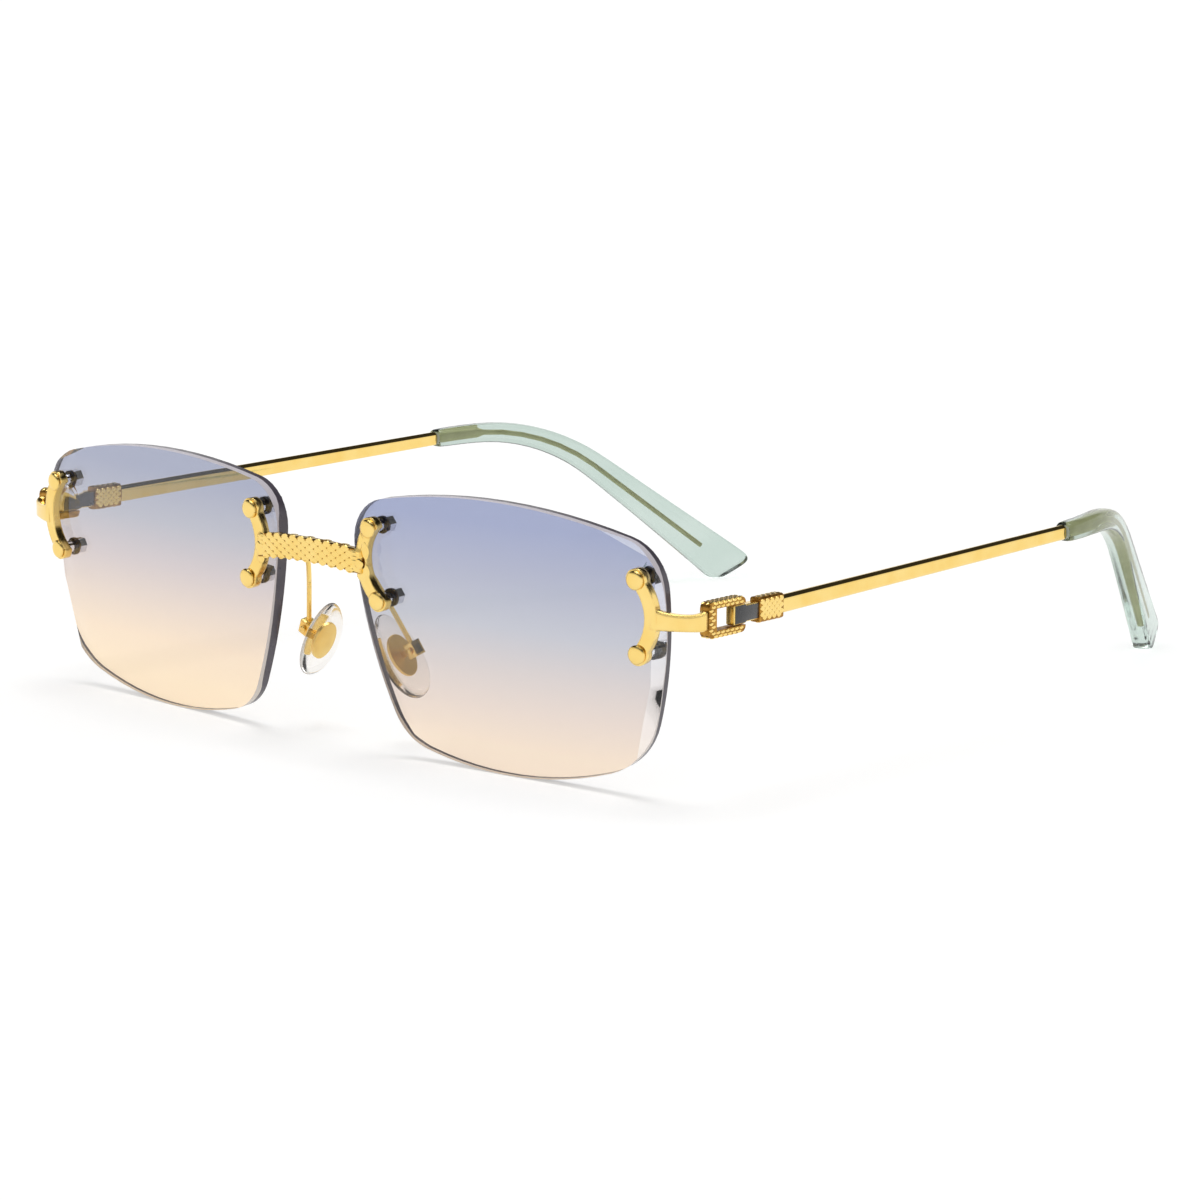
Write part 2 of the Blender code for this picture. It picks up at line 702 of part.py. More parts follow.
def make_link():
    """The T-shaped tongue that turns in the buckle, with the tang that the collar holds."""
    shoulder = HEAD_REAR + (LINK_HEAD_HEIGHT - LINK_NECK_HEIGHT) / 2
    stations = [
        (HEAD_FRONT, LINK_THICKNESS, LINK_HEAD_HEIGHT, EDGE_CHAMFER / 2),
        (HEAD_REAR, LINK_THICKNESS, LINK_HEAD_HEIGHT, EDGE_CHAMFER / 2),
        (shoulder, LINK_THICKNESS, LINK_NECK_HEIGHT, EDGE_CHAMFER / 2),
        (NECK_REAR, LINK_THICKNESS, LINK_NECK_HEIGHT, EDGE_CHAMFER / 2),
        (NECK_REAR, TANG_THICKNESS, TANG_HEIGHT, EDGE_CHAMFER / 2),
        (NECK_REAR + TANG_LENGTH, TANG_THICKNESS, TANG_HEIGHT, EDGE_CHAMFER / 2),
    ]
    link = stepped_bar("link_left", stations)
    reach = LINK_HEAD_HEIGHT
    return moved(cut(link, rod("pivot", HINGE_PIN_RADIUS + FIT_GAP, -reach, reach)), TEMPLE)


def make_collar():
    """A sleeve over the tangs of the link and of the temple bar."""
    stations = [(y, COLLAR_THICKNESS, COLLAR_HEIGHT, EDGE_CHAMFER) for y in (COLLAR_FRONT, COLLAR_REAR)]
    body = stepped_bar("collar_left", stations)
    half_width = TANG_THICKNESS / 2 + FIT_GAP
    half_height = TANG_HEIGHT / 2 + FIT_GAP
    bore = block(
        "bore",
        (-half_width, COLLAR_FRONT - CUT_MARGIN, -half_height),
        (half_width, COLLAR_REAR + CUT_MARGIN, half_height),
    )
    return moved(cut(body, bore), TEMPLE)


def share_of(value, start, length):
    """How far a value is along a stretch, from 0 to 1."""
    return min(max((value - start) / length, 0.0), 1.0)


def temple_heading(distance):
    """The temple's inward turn and climb at a distance from the hinge."""
    inward = TOE_IN_ANGLE * share_of(distance, TIP_FRONT, TOE_IN_LENGTH)
    if distance <= BAR_FRONT:
        return inward, 0.0
    climb = TEMPLE_RISE - (TEMPLE_RISE + DROP_ANGLE) * share_of(distance, BEND_START, BEND_LENGTH)
    return inward, climb


def temple_frame(distance):
    """The frame of the temple's centreline: Y along it, X outward."""
    whole = int(distance // PATH_STEP)
    strides = [PATH_STEP] * whole + [distance - whole * PATH_STEP]
    position = Vector((0, 0, 0))
    for i, stride in enumerate(strides):
        inward, climb = temple_heading(i * PATH_STEP + stride / 2)
        position += stride * Vector((-sin(inward) * cos(climb), cos(inward) * cos(climb), sin(climb)))
    inward, climb = temple_heading(distance)
    turn = Matrix.Rotation(inward, 4, "Z") @ Matrix.Rotation(climb, 4, "X")
    return TEMPLE @ Matrix.Translation(position) @ turn


def rounding(to_end, radius):
    """How far a side comes in, near an end with rounded corners."""
    if to_end >= radius:
        return 0.0
    return radius - sqrt(radius**2 - (radius - to_end) ** 2)


def tip_ring(distance, end, margin=0.0):
    """The tip's cross-section: it deepens towards its slanted, rounded end."""
    share = share_of(distance, TIP_FRONT, end - TIP_FRONT)
    to_end = end - distance
    height = TIP_FRONT_HEIGHT + (TIP_END_HEIGHT - TIP_FRONT_HEIGHT) * share**1.6
    height -= 2 * rounding(to_end, TIP_CORNER) + 2 * margin
    width = TIP_THICKNESS - 2 * rounding(to_end, TIP_EDGE) - 2 * margin
    edge = min(TIP_EDGE, width / 2.2, height / 2.2)
    slant = sin(TIP_SLANT) * share_of(distance, end - TIP_SLANT_LENGTH, TIP_SLANT_LENGTH)
    frame = temple_frame(distance)
    return [frame @ Vector((x, z * slant, z)) for x, z in section(width, height, edge, 2)]


def tip_end():
    """The tip's length along the temple, long enough for it to come down to the table."""
    straight_from = BEND_START + BEND_LENGTH + TIP_SLANT_LENGTH
    rings = [tip_ring(straight_from - back, straight_from) for back in (0.0, TIP_CORNER / 2)]
    lowest = min(point.z for ring in rings for point in ring)
    return straight_from + (lowest + TIP_FLAT_DEPTH) / sin(DROP_ANGLE)


TIP_END = tip_end()
CORE_END = TIP_END - CORE_TO_END


def stations_between(start, end, stride):
    count = max(1, ceil((end - start) / stride))
    return [start + (end - start) * i / count for i in range(count + 1)]


def core_stations(margin):
    """Stations (distance, width, height) of the bar's stub and core wire, with a margin all round."""
    stub_end = TIP_FRONT + STUB_LENGTH
    taper = stub_end + STUB_HEIGHT
    wide = STUB_THICKNESS + 2 * margin
    high = STUB_HEIGHT + 2 * margin
    slim = CORE_THICKNESS + 2 * margin
    low = CORE_HEIGHT + 2 * margin
    stations = [(distance, wide, high) for distance in stations_between(TIP_FRONT, stub_end, 2 * PATH_STEP)]
    stations += [(distance, slim, low) for distance in stations_between(taper, CORE_END, 2 * PATH_STEP)]
    return stations


def rings_along(stations, edge, steps=1):
    """Rounded sections along the temple, each edge no larger than its section allows."""
    rings = []
    for distance, width, height in stations:
        here = min(edge, 0.45 * width, 0.45 * height)
        rings.append(across(temple_frame(distance), section(width, height, here, steps)))
    return rings


def make_temple_bar():
    """The tapered bar with its tang in the collar, and its stub and core wire in the tip."""
    tang_front = BAR_FRONT - TANG_LENGTH
    stations = [
        (tang_front, TANG_THICKNESS, TANG_HEIGHT),
        (BAR_FRONT, TANG_THICKNESS, TANG_HEIGHT),
        (BAR_FRONT, BAR_FRONT_THICKNESS, BAR_FRONT_HEIGHT),
        (TIP_FRONT, BAR_REAR_THICKNESS, BAR_REAR_HEIGHT),
    ]
    stations += core_stations(0.0)
    return loft("temple_bar_left", rings_along(stations, BAR_EDGE, 3))


def make_temple_tip():
    """The sleeve behind the ear, bored for the stub and the core wire, with a flat where it stands."""
    lip = TIP_EDGE / 2
    front = TIP_FRONT + SEAT_GAP
    rings = [tip_ring(front, TIP_END, lip / 2)]
    straight = TIP_END - TIP_CORNER
    rings += [tip_ring(d, TIP_END) for d in stations_between(front + lip, straight, 2.2 * PATH_STEP)]
    for share in (0.6, 0.3, 0.1, 0.0):
        rings.append(tip_ring(TIP_END - TIP_CORNER * share, TIP_END))
    tip = loft("temple_tip_left", rings)
    bore = core_stations(FIT_GAP)
    bore.insert(0, (TIP_FRONT - CUT_MARGIN, *bore[0][1:]))
    bore.append((CORE_END + CORE_SLOT, *bore[-1][1:]))
    tip = cut(tip, loft("bore", rings_along(bore, EDGE_CHAMFER)))
    foot = temple_frame(TIP_END).translation
    reach = 2 * TIP_END_HEIGHT
    low = (foot.x - reach, foot.y - reach, -reach)
    return cut(tip, block("table", low, (foot.x + reach, foot.y + reach, 0)))


def pad_place():
    """The nose pad's frame on its rocking axis: X along the axis, Y up the pad, Z towards the nose."""
    facing = Vector((-cos(PAD_SPLAY) * cos(PAD_FLARE), sin(PAD_SPLAY) * cos(PAD_FLARE), -sin(PAD_FLARE)))
    upward = (Vector((0, 0, 1)) - facing * facing.z).normalized()
    axes = Matrix((upward.cross(facing), upward, facing)).transposed().to_4x4()
    out = LENS_SPACING / 2 + PAD_AXIS_PAST_EDGE
    where = Vector((out, PAD_AXIS_BACK, INNER_STRAP.translation.z - PAD_AXIS_DROP))
    return Matrix.Translation(where) @ axes @ Matrix.Rotation(-PAD_LEAN, 4, "Z")


PAD = pad_place()
BOX_HALF_WIDTH = STEM_WIDTH / 2 + TURN_GAP + BOX_WALL
SOCKET_HALF_HEIGHT = STEM_HEIGHT / 2 + STEM_ROCK_ROOM
BOX_HALF_HEIGHT = SOCKET_HALF_HEIGHT + BOX_WALL
STEM_BACK = -STEM_HEIGHT / 2
SOCKET_BACK = STEM_BACK - STEM_ROCK_ROOM
PAD_PIN_END = BOX_HALF_WIDTH
TO_PIN = Matrix.Rotation(pi / 2, 4, "Y")


def make_pad_arm():
    """The wire from the back of the bridge to the box that holds the pad."""
    share = (LENS_SPACING / 2 - PAD_WIRE_FROM_EDGE) / bridge_waist().x
    behind = BRIDGE_THICKNESS / 2 + SEAT_GAP
    start = bridge_point(share) + Vector((0, behind, -PAD_WIRE_DROP))
    end = PAD @ Vector((0, BOX_HALF_HEIGHT - BOX_WALL / 2, 0))
    bend = start + Vector((0, PAD_WIRE_BACK, 0))
    data = bpy.data.curves.new("pad_arm_left", "CURVE")
    data.dimensions = "3D"
    data.bevel_depth = PAD_WIRE_RADIUS
    data.bevel_resolution = 2
    data.use_fill_caps = True
    spline = data.splines.new("POLY")
    count = 2 * SIDE_STEPS
    spline.points.add(count)
    for i, point in enumerate(spline.points):
        point.co = (*bezier(start, bend, bend, end, i / count), 1.0)
    wire = baked(add_object("pad_arm_left", data))
    low = (-BOX_HALF_WIDTH, -BOX_HALF_HEIGHT, -BOX_DEPTH / 2)
    high = (BOX_HALF_WIDTH, BOX_HALF_HEIGHT, BOX_DEPTH / 2)
    arm = join(wire, moved(block("box", low, high), PAD))
    slot = STEM_WIDTH / 2 + TURN_GAP
    low = (-slot, -SOCKET_HALF_HEIGHT, SOCKET_BACK)
    socket = block("socket", low, (slot, SOCKET_HALF_HEIGHT, BOX_DEPTH))
    arm = cut(arm, moved(socket, PAD))
    reach = BOX_HALF_WIDTH + CUT_MARGIN
    return cut(arm, moved(rod("pin_hole", PAD_PIN_RADIUS + FIT_GAP, -reach, reach), PAD @ TO_PIN))


def insert_shape(name, margin):
    """The oval plate in the pad and its stem, with a margin all round."""
    oval = []
    for i in range(2 * ROUND_SIDES):
        angle = pi * i / ROUND_SIDES
        x = (INSERT_WIDTH / 2 + margin) * cos(angle)
        y = (INSERT_LENGTH / 2 + margin) * sin(angle)
        oval.append((x, y))
    half = INSERT_THICKNESS / 2 + margin
    body = plate(name, oval, PAD_REACH - half, PAD_REACH + half)
    low = (-STEM_WIDTH / 2 - margin, -STEM_HEIGHT / 2 - margin, STEM_BACK)
    high = (STEM_WIDTH / 2 + margin, STEM_HEIGHT / 2 + margin, PAD_REACH)
    return join(body, block("stem", low, high))


def make_pad_insert():
    body = insert_shape("pad_insert_left", 0.0)
    pivot = rod("pivot", PAD_PIN_RADIUS + FIT_GAP, -STEM_WIDTH, STEM_WIDTH)
    return moved(cut(body, moved(pivot, TO_PIN)), PAD)


def make_nose_pad():
    """A soft teardrop, narrower at its top, moulded round the insert."""
    shape = bmesh.new()
    bmesh.ops.create_uvsphere(shape, u_segments=16, v_segments=10, radius=1.0)
    for vert in shape.verts:
        x, y, z = vert.co
        narrow = 1 - PAD_TAPER * z
        vert.co = (x * narrow * PAD_WIDTH / 2, z * PAD_LENGTH / 2, y * PAD_THICKNESS / 2 + PAD_REACH)
    pad = from_bmesh("nose_pad_left", shape)
    return moved(cut(pad, insert_shape("pocket", FIT_GAP)), PAD)


def make_pad_screw():
    """A slotless cheese-head pin across the box."""
    head = BOX_HALF_WIDTH + FIT_GAP
    top = head + PAD_HEAD_HEIGHT
    profile = [(0, top), (PAD_HEAD_RADIUS, top), (PAD_HEAD_RADIUS, head)]
    profile += [(PAD_PIN_RADIUS, head), (PAD_PIN_RADIUS, -PAD_PIN_END), (0, -PAD_PIN_END)]
    return moved(turned("pad_screw_left", profile), PAD @ TO_PIN)


def make_lens_screw(name):
    """A domed head over the strap's eye and a shank through the lens into the nut."""
    profile = []
    for i in range(5):
        angle = pi / 2 * (1 - i / 4)
        profile.append((SCREW_HEAD_RADIUS * cos(angle), HEAD_BACK + SCREW_HEAD_HEIGHT * sin(angle)))
    profile[0] = (0, HEAD_BACK + SCREW_HEAD_HEIGHT)
    profile += [(SCREW_RADIUS, HEAD_BACK), (SCREW_RADIUS, NUT_BACK), (0, NUT_BACK)]
    return turned(name, profile)


def make_nut(name):
    corner = NUT_ACROSS_FLATS / 2 / cos(pi / 6)
    hexagon = [(corner * cos(pi / 3 * i), corner * sin(pi / 3 * i)) for i in range(6)]
    body = plate(name, hexagon, NUT_BACK, NUT_FRONT)
    return cut(body, rod("thread", SCREW_HOLE_RADIUS, NUT_BACK - CUT_MARGIN, NUT_FRONT + CUT_MARGIN))


def make_fasteners():
    """The screw, bush, washer and nut at each of the four eyes of the left side."""
    made = []
    for strap_name, strap in (("inner", INNER_STRAP), ("outer", OUTER_STRAP)):
        for eye_name, eye in zip(("top", "bottom"), eye_places(strap)):
            where = f"left_{strap_name}_{eye_name}"
            screw = make_lens_screw(f"lens_screw_{where}")
            bush = ring_tube(
                f"lens_bush_{where}", SCREW_HOLE_RADIUS, BUSH_RADIUS, BUSH_BACK, BUSH_FRONT
            )
            washer = ring_tube(
                f"lens_washer_{where}", SCREW_HOLE_RADIUS, WASHER_RADIUS, WASHER_BACK, WASHER_FRONT
            )
            nut = make_nut(f"lens_nut_{where}")
            finishes = ("gold", "clear_plastic", "dark_washer", "steel")
            for piece, finish in zip((screw, bush, washer, nut), finishes):
                made.append((moved(piece, eye), finish, None))
    return made


def finish_piece(piece, finish):
    """Gives a piece its own material and smooth shading with sharp edges kept."""
    piece.data.materials.clear()
    piece.data.materials.append(material(f"{piece.name}_{finish}", *FINISHES[finish]))
    piece.data.shade_smooth()
    piece.data.set_sharp_from_angle(angle=radians(35))


def add_empty(name, place, parent):
    made = bpy.data.objects.new(name, None)
    made.empty_display_size = 5 * MM
    PARTS.objects.link(made)
    made.parent = parent
    made.matrix_local = place
    return made


def carry(piece, holder, place):
    """Hangs a piece on the empty that moves it, and keeps it where it was made."""
    piece.data.transform(place.inverted())
    piece.parent = holder


def other_side(place):
    """A frame mirrored in the middle plane, still right-handed."""
    flip = Matrix.Scale(-1, 4, (1, 0, 0))
    return flip @ place @ flip


def build():
    """Makes the left pieces, mirrors them, and hangs each on its joint."""
    left = [
        (make_lens(), "tinted_lens", None),
        (make_end_piece(), "gold", None),
        (make_buckle(), "gold", None),
        (make_hinge_screw(), "gold", None),
        (make_pad_arm(), "gold", None),
        (make_pad_screw(), "gold", None),
        (make_link(), "black_enamel", "temple"),
        (make_collar(), "gold", "temple"),
        (make_temple_bar(), "gold", "temple"),
        (make_temple_tip(), "acetate", "temple"),
        (make_pad_insert(), "gold", "pad"),
        (make_nose_pad(), "silicone", "pad"),
    ]
    left += make_fasteners()
    bridge = make_bridge()
    pieces = [(bridge, "gold", "root", Matrix.Identity(4))]
    places = {None: Matrix.Identity(4), "temple": TEMPLE, "pad": PAD}
    for piece, finish, joint in left:
        twin = mirrored(piece, piece.name.replace("left", "right"))
        place = places[joint]
        for side, made, at in (("left", piece, place), ("right", twin, other_side(place))):
            holder = f"{joint}_{side}" if joint else "root"
            pieces.append((made, finish, holder, at))
    low, high = box_of(piece for piece, _, _, _ in pieces)
    origin = Matrix.Translation((0, -(low.y + high.y) / 2, -low.z))
    holders = {"root": add_empty("on_table", origin, None)}
    for joint in ("temple", "pad"):
        for side, place in (("left", places[joint]), ("right", other_side(places[joint]))):
            name = f"{joint}_{side}"
            holders[name] = add_empty(f"{name}_axis", place, holders["root"])
    for piece, finish, holder, place in pieces:
        finish_piece(piece, finish)
        carry(piece, holders[holder], place)
    bpy.context.view_layer.update()
    for name, holder in holders.items():
        where = [round(value / MM, 4) for value in holder.matrix_world.translation]
        print(name, where, [[round(v, 5) for v in row[:3]] for row in holder.matrix_world.to_3x3()])


def box_of(pieces):
    points = [vert.co for piece in pieces for vert in piece.data.vertices]
    low = Vector(min(point[axis] for point in points) for axis in range(3))
    high = Vector(max(point[axis] for point in points) for axis in range(3))
    return low, high


build()
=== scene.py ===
"""Looks for the rimless sunglasses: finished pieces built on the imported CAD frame.

Metres, +Z up. The lenses face -Y and +X is the wearer's left, the side nearer to the camera.
Left pieces are made from the left CAD nodes, and each right piece is the mirror image.
"""

import json
from math import copysign, cos, pi, radians, sin

import bmesh
import bpy
import numpy as np
from mathutils import Matrix, Vector
from mathutils.bvhtree import BVHTree


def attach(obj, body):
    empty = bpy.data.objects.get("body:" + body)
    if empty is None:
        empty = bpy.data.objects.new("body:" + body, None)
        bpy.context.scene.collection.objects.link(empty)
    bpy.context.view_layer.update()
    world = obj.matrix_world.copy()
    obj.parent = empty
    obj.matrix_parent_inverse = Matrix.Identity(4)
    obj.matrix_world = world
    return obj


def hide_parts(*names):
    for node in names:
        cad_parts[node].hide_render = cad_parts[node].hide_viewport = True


MM = 0.001

# The photograph's camera
CAMERA_PLACE = Vector((490.57, -559.62, 153.09)) * MM
CAMERA_AZIMUTH = radians(41.83)
CAMERA_ELEVATION = radians(10.78)
CAMERA_ROLL = radians(0.40)
CAMERA_LENS = 142.41

# Edge rounding of the metal pieces, and the softness that their polish adds
STRAP_ROUND = 0.3 * MM
BAR_ROUND = 0.45 * MM
SMALL_ROUND = 0.12 * MM
SCREW_ROUND = 0.06 * MM
RING_EASE = 0.05 * MM
EDGE_EASE = 0.5 * MM

# Lens: faces within a lean of the front are tinted, and walls within a lean of its edge form its outer edge,
# which carries the painted light and shade bands
LENS_ROUND = 0.1 * MM
LENS_FACE_LEAN = radians(12)
LENS_WALL_LEAN = radians(14)

# Share of the lens edge's thickness painted dark as shade, at its sides and at its top and bottom; the rest
# is a painted light band
LENS_SHADE_SIDES = 0.85
LENS_SHADE_ENDS = 0.45
LENS_TILT_START = 0.2
LENS_TILT_SPAN = 0.4

# Raised grains of the pebbled metal
GRAIN_LIFT = 0.11 * MM
GRAIN_SINK = 0.04 * MM
GRAIN_SIDES = 12
BRIDGE_GRAIN_PITCH = 1.75 * MM
BRIDGE_GRAIN_ROWS = 6
BRIDGE_GRAIN_REACH = 11.2 * MM
HINGE_GRAIN_PITCH = 1.1 * MM
HINGE_GRAIN_ROW = 0.47 * MM
BUCKLE_GRAIN_SPREAD = 1.1
COLLAR_GRAIN_SPREAD = 1.9

# Enamel on the links
ENAMEL_INSET = 0.16 * MM
ENAMEL_LIFT = 0.04 * MM
TEMPLE_TOE = radians(1.6)

# Nose pads
PAD_TAPER = 0.16
# Faces of the pad turned this far sideways form its rim, tinted greyer to paint the shade along its outline
PAD_RIM_LEAN = 0.6

# Screw heads at the lenses
SCREW_HEAD_RIM = 0.18 * MM
SCREW_HEAD_EASE = 0.04 * MM

# Tint of each lens, and of the painted light band on its edge: height in mm, then the sRGB colour seen
# against white
# The rise of each table towards the top is the lenses' own gradient tint; the left table runs darker than
# the right, and that difference is painted shade
TINTS = {
    "left": (
        (4.0, (246, 227, 206)),
        (10.0, (230, 215, 205)),
        (16.0, (213, 205, 204)),
        (22.0, (193, 195, 205)),
        (29.0, (177, 180, 199)),
        (37.0, (158, 166, 197)),
    ),
    "right": (
        (4.0, (254, 232, 201)),
        (10.0, (246, 225, 200)),
        (16.0, (229, 213, 201)),
        (22.0, (209, 199, 200)),
        (29.0, (184, 185, 196)),
        (37.0, (164, 169, 190)),
    ),
}

PAINTED_EDGE_LIGHT = ((4.0, (250, 240, 230)), (20.0, (234, 226, 226)), (37.0, (212, 206, 214)))

# Light: the lamp above, the soft surround, and the floor's own brightness as the camera sees it
LAMP_LEVEL = 1.0
SOFT_LEVEL = 0.5
FLOOR_GLOW = 0.38

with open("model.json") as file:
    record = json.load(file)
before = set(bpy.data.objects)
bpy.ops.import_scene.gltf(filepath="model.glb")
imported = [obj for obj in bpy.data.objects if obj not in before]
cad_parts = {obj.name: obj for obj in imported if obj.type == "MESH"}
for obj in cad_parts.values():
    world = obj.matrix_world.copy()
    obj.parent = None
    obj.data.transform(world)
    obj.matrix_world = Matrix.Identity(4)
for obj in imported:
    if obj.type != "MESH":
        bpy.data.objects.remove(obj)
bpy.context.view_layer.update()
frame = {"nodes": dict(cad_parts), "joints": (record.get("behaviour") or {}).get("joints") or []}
NODES = frame["nodes"]
JOINTS = {joint["name"]: joint for joint in frame["joints"]}


def linear(colour):
    """An sRGB colour of 0 to 255 as linear light."""
    shares = [value / 255 for value in colour]
    return tuple(s / 12.92 if s <= 0.04045 else ((s + 0.055) / 1.055) ** 2.4 for s in shares)


class Finish:
    """A Principled material and the helpers that grow its node tree."""

    def __init__(self, name, colour, roughness, **sockets):
        self.material = bpy.data.materials.new(name)
        self.material.use_nodes = True
        self.tree = self.material.node_tree
        self.shader = self.tree.nodes["Principled BSDF"]
        self.shader.inputs["Base Color"].default_value = (*colour, 1.0)
        self.shader.inputs["Roughness"].default_value = roughness
        for socket, value in sockets.items():
            self.shader.inputs[socket.replace("_", " ")].default_value = value

    def node(self, kind, **settings):
        made = self.tree.nodes.new(kind)
        for name, value in settings.items():
            setattr(made, name, value)
        return made

    def link(self, source, target):
        self.tree.links.new(source, target)

    def place(self, stretch=(1.0, 1.0, 1.0)):
        """The piece's own coordinates, in metres, stretched if asked."""
        coordinates = self.node("ShaderNodeTexCoord")
        mapping = self.node("ShaderNodeMapping")
        mapping.inputs["Scale"].default_value = stretch
        self.link(coordinates.outputs["Object"], mapping.inputs["Vector"])
        return mapping.outputs["Vector"]

    def noise(self, size, detail=3.0, stretch=(1.0, 1.0, 1.0)):
        """Noise whose features are about a size across."""
        made = self.node("ShaderNodeTexNoise")
        made.inputs["Scale"].default_value = 1 / size
        made.inputs["Detail"].default_value = detail
        self.link(self.place(stretch), made.inputs["Vector"])
        return made.outputs["Fac"]

    def ramp(self, value, stops):
        """Colours along a value, from (position, colour) stops."""
        made = self.node("ShaderNodeValToRGB")
        elements = made.color_ramp.elements
        while len(elements) < len(stops):
            elements.new(0.5)
        for element, (position, colour) in zip(elements, stops):
            element.position = position
            element.color = (*colour, 1.0)
        self.link(value, made.inputs["Fac"])
        return made.outputs["Color"]

    def spread(self, value, low, high, start=0.3, end=0.7):
        """Maps a value from one range to another."""
        made = self.node("ShaderNodeMapRange")
        for name, number in (("From Min", start), ("From Max", end), ("To Min", low), ("To Max", high)):
            made.inputs[name].default_value = number
        self.link(value, made.inputs["Value"])
        return made.outputs["Result"]

    def colours(self, size, first, second, stretch=(1.0, 1.0, 1.0)):
        """Lets the colour wander between two, in patches of a size."""
        colour = self.ramp(self.noise(size, 3.0, stretch), ((0.3, first), (0.7, second)))
        self.link(colour, self.shader.inputs["Base Color"])
        return self

    def by_height(self, table):
        """Grades the colour up the piece, from (height, sRGB colour) stops."""
        split = self.node("ShaderNodeSeparateXYZ")
        self.link(self.place(), split.inputs["Vector"])
        low, high = table[0][0] * MM, table[-1][0] * MM
        height = self.spread(split.outputs["Z"], 0.0, 1.0, low, high)
        stops = [((z * MM - low) / (high - low), linear(colour)) for z, colour in table]
        self.link(self.ramp(height, stops), self.shader.inputs["Base Color"])
        return self

    def polish(self, size, low, high, stretch=(1.0, 1.0, 1.0)):
        """Lets the roughness wander between two values, as handling leaves it."""
        self.link(self.spread(self.noise(size, 4.0, stretch), low, high), self.shader.inputs["Roughness"])
        return self

    def relief(self, size, depth, strength, stretch=(1.0, 1.0, 1.0), ease=0.0):
        """Fine unevenness of the surface, with its edges eased by a radius if asked."""
        bump = self.node("ShaderNodeBump")
        if ease:
            bevel = self.node("ShaderNodeBevel")
            bevel.inputs["Radius"].default_value = ease
            self.link(bevel.outputs["Normal"], bump.inputs["Normal"])
        bump.inputs["Strength"].default_value = strength
        bump.inputs["Distance"].default_value = depth
        self.link(self.noise(size, 4.0, stretch), bump.inputs["Height"])
        self.link(bump.outputs["Normal"], self.shader.inputs["Normal"])
        return self

    def lets_lamps_through(self, colour):
        """Clear pieces pass lamp light, tinted, so that they cast a faint shadow."""
        path = self.node("ShaderNodeLightPath")
        clear = self.node("ShaderNodeBsdfTransparent")
        clear.inputs["Color"].default_value = (*colour, 1.0)
        mix = self.node("ShaderNodeMixShader")
        self.link(path.outputs["Is Shadow Ray"], mix.inputs["Fac"])
        self.link(self.shader.outputs["BSDF"], mix.inputs[1])
        self.link(clear.outputs["BSDF"], mix.inputs[2])
        self.link(mix.outputs["Shader"], self.tree.nodes["Material Output"].inputs["Surface"])
        return self


GOLD_PALE = linear((250, 219, 138))
GOLD_DEEP = linear((246, 209, 118))


def gold(name, rough_low, rough_high):
    made = Finish(name, GOLD_PALE, rough_low, Metallic=1.0)
    made.colours(4 * MM, GOLD_PALE, GOLD_DEEP)
    made.polish(1.5 * MM, rough_low, rough_high)
    return made


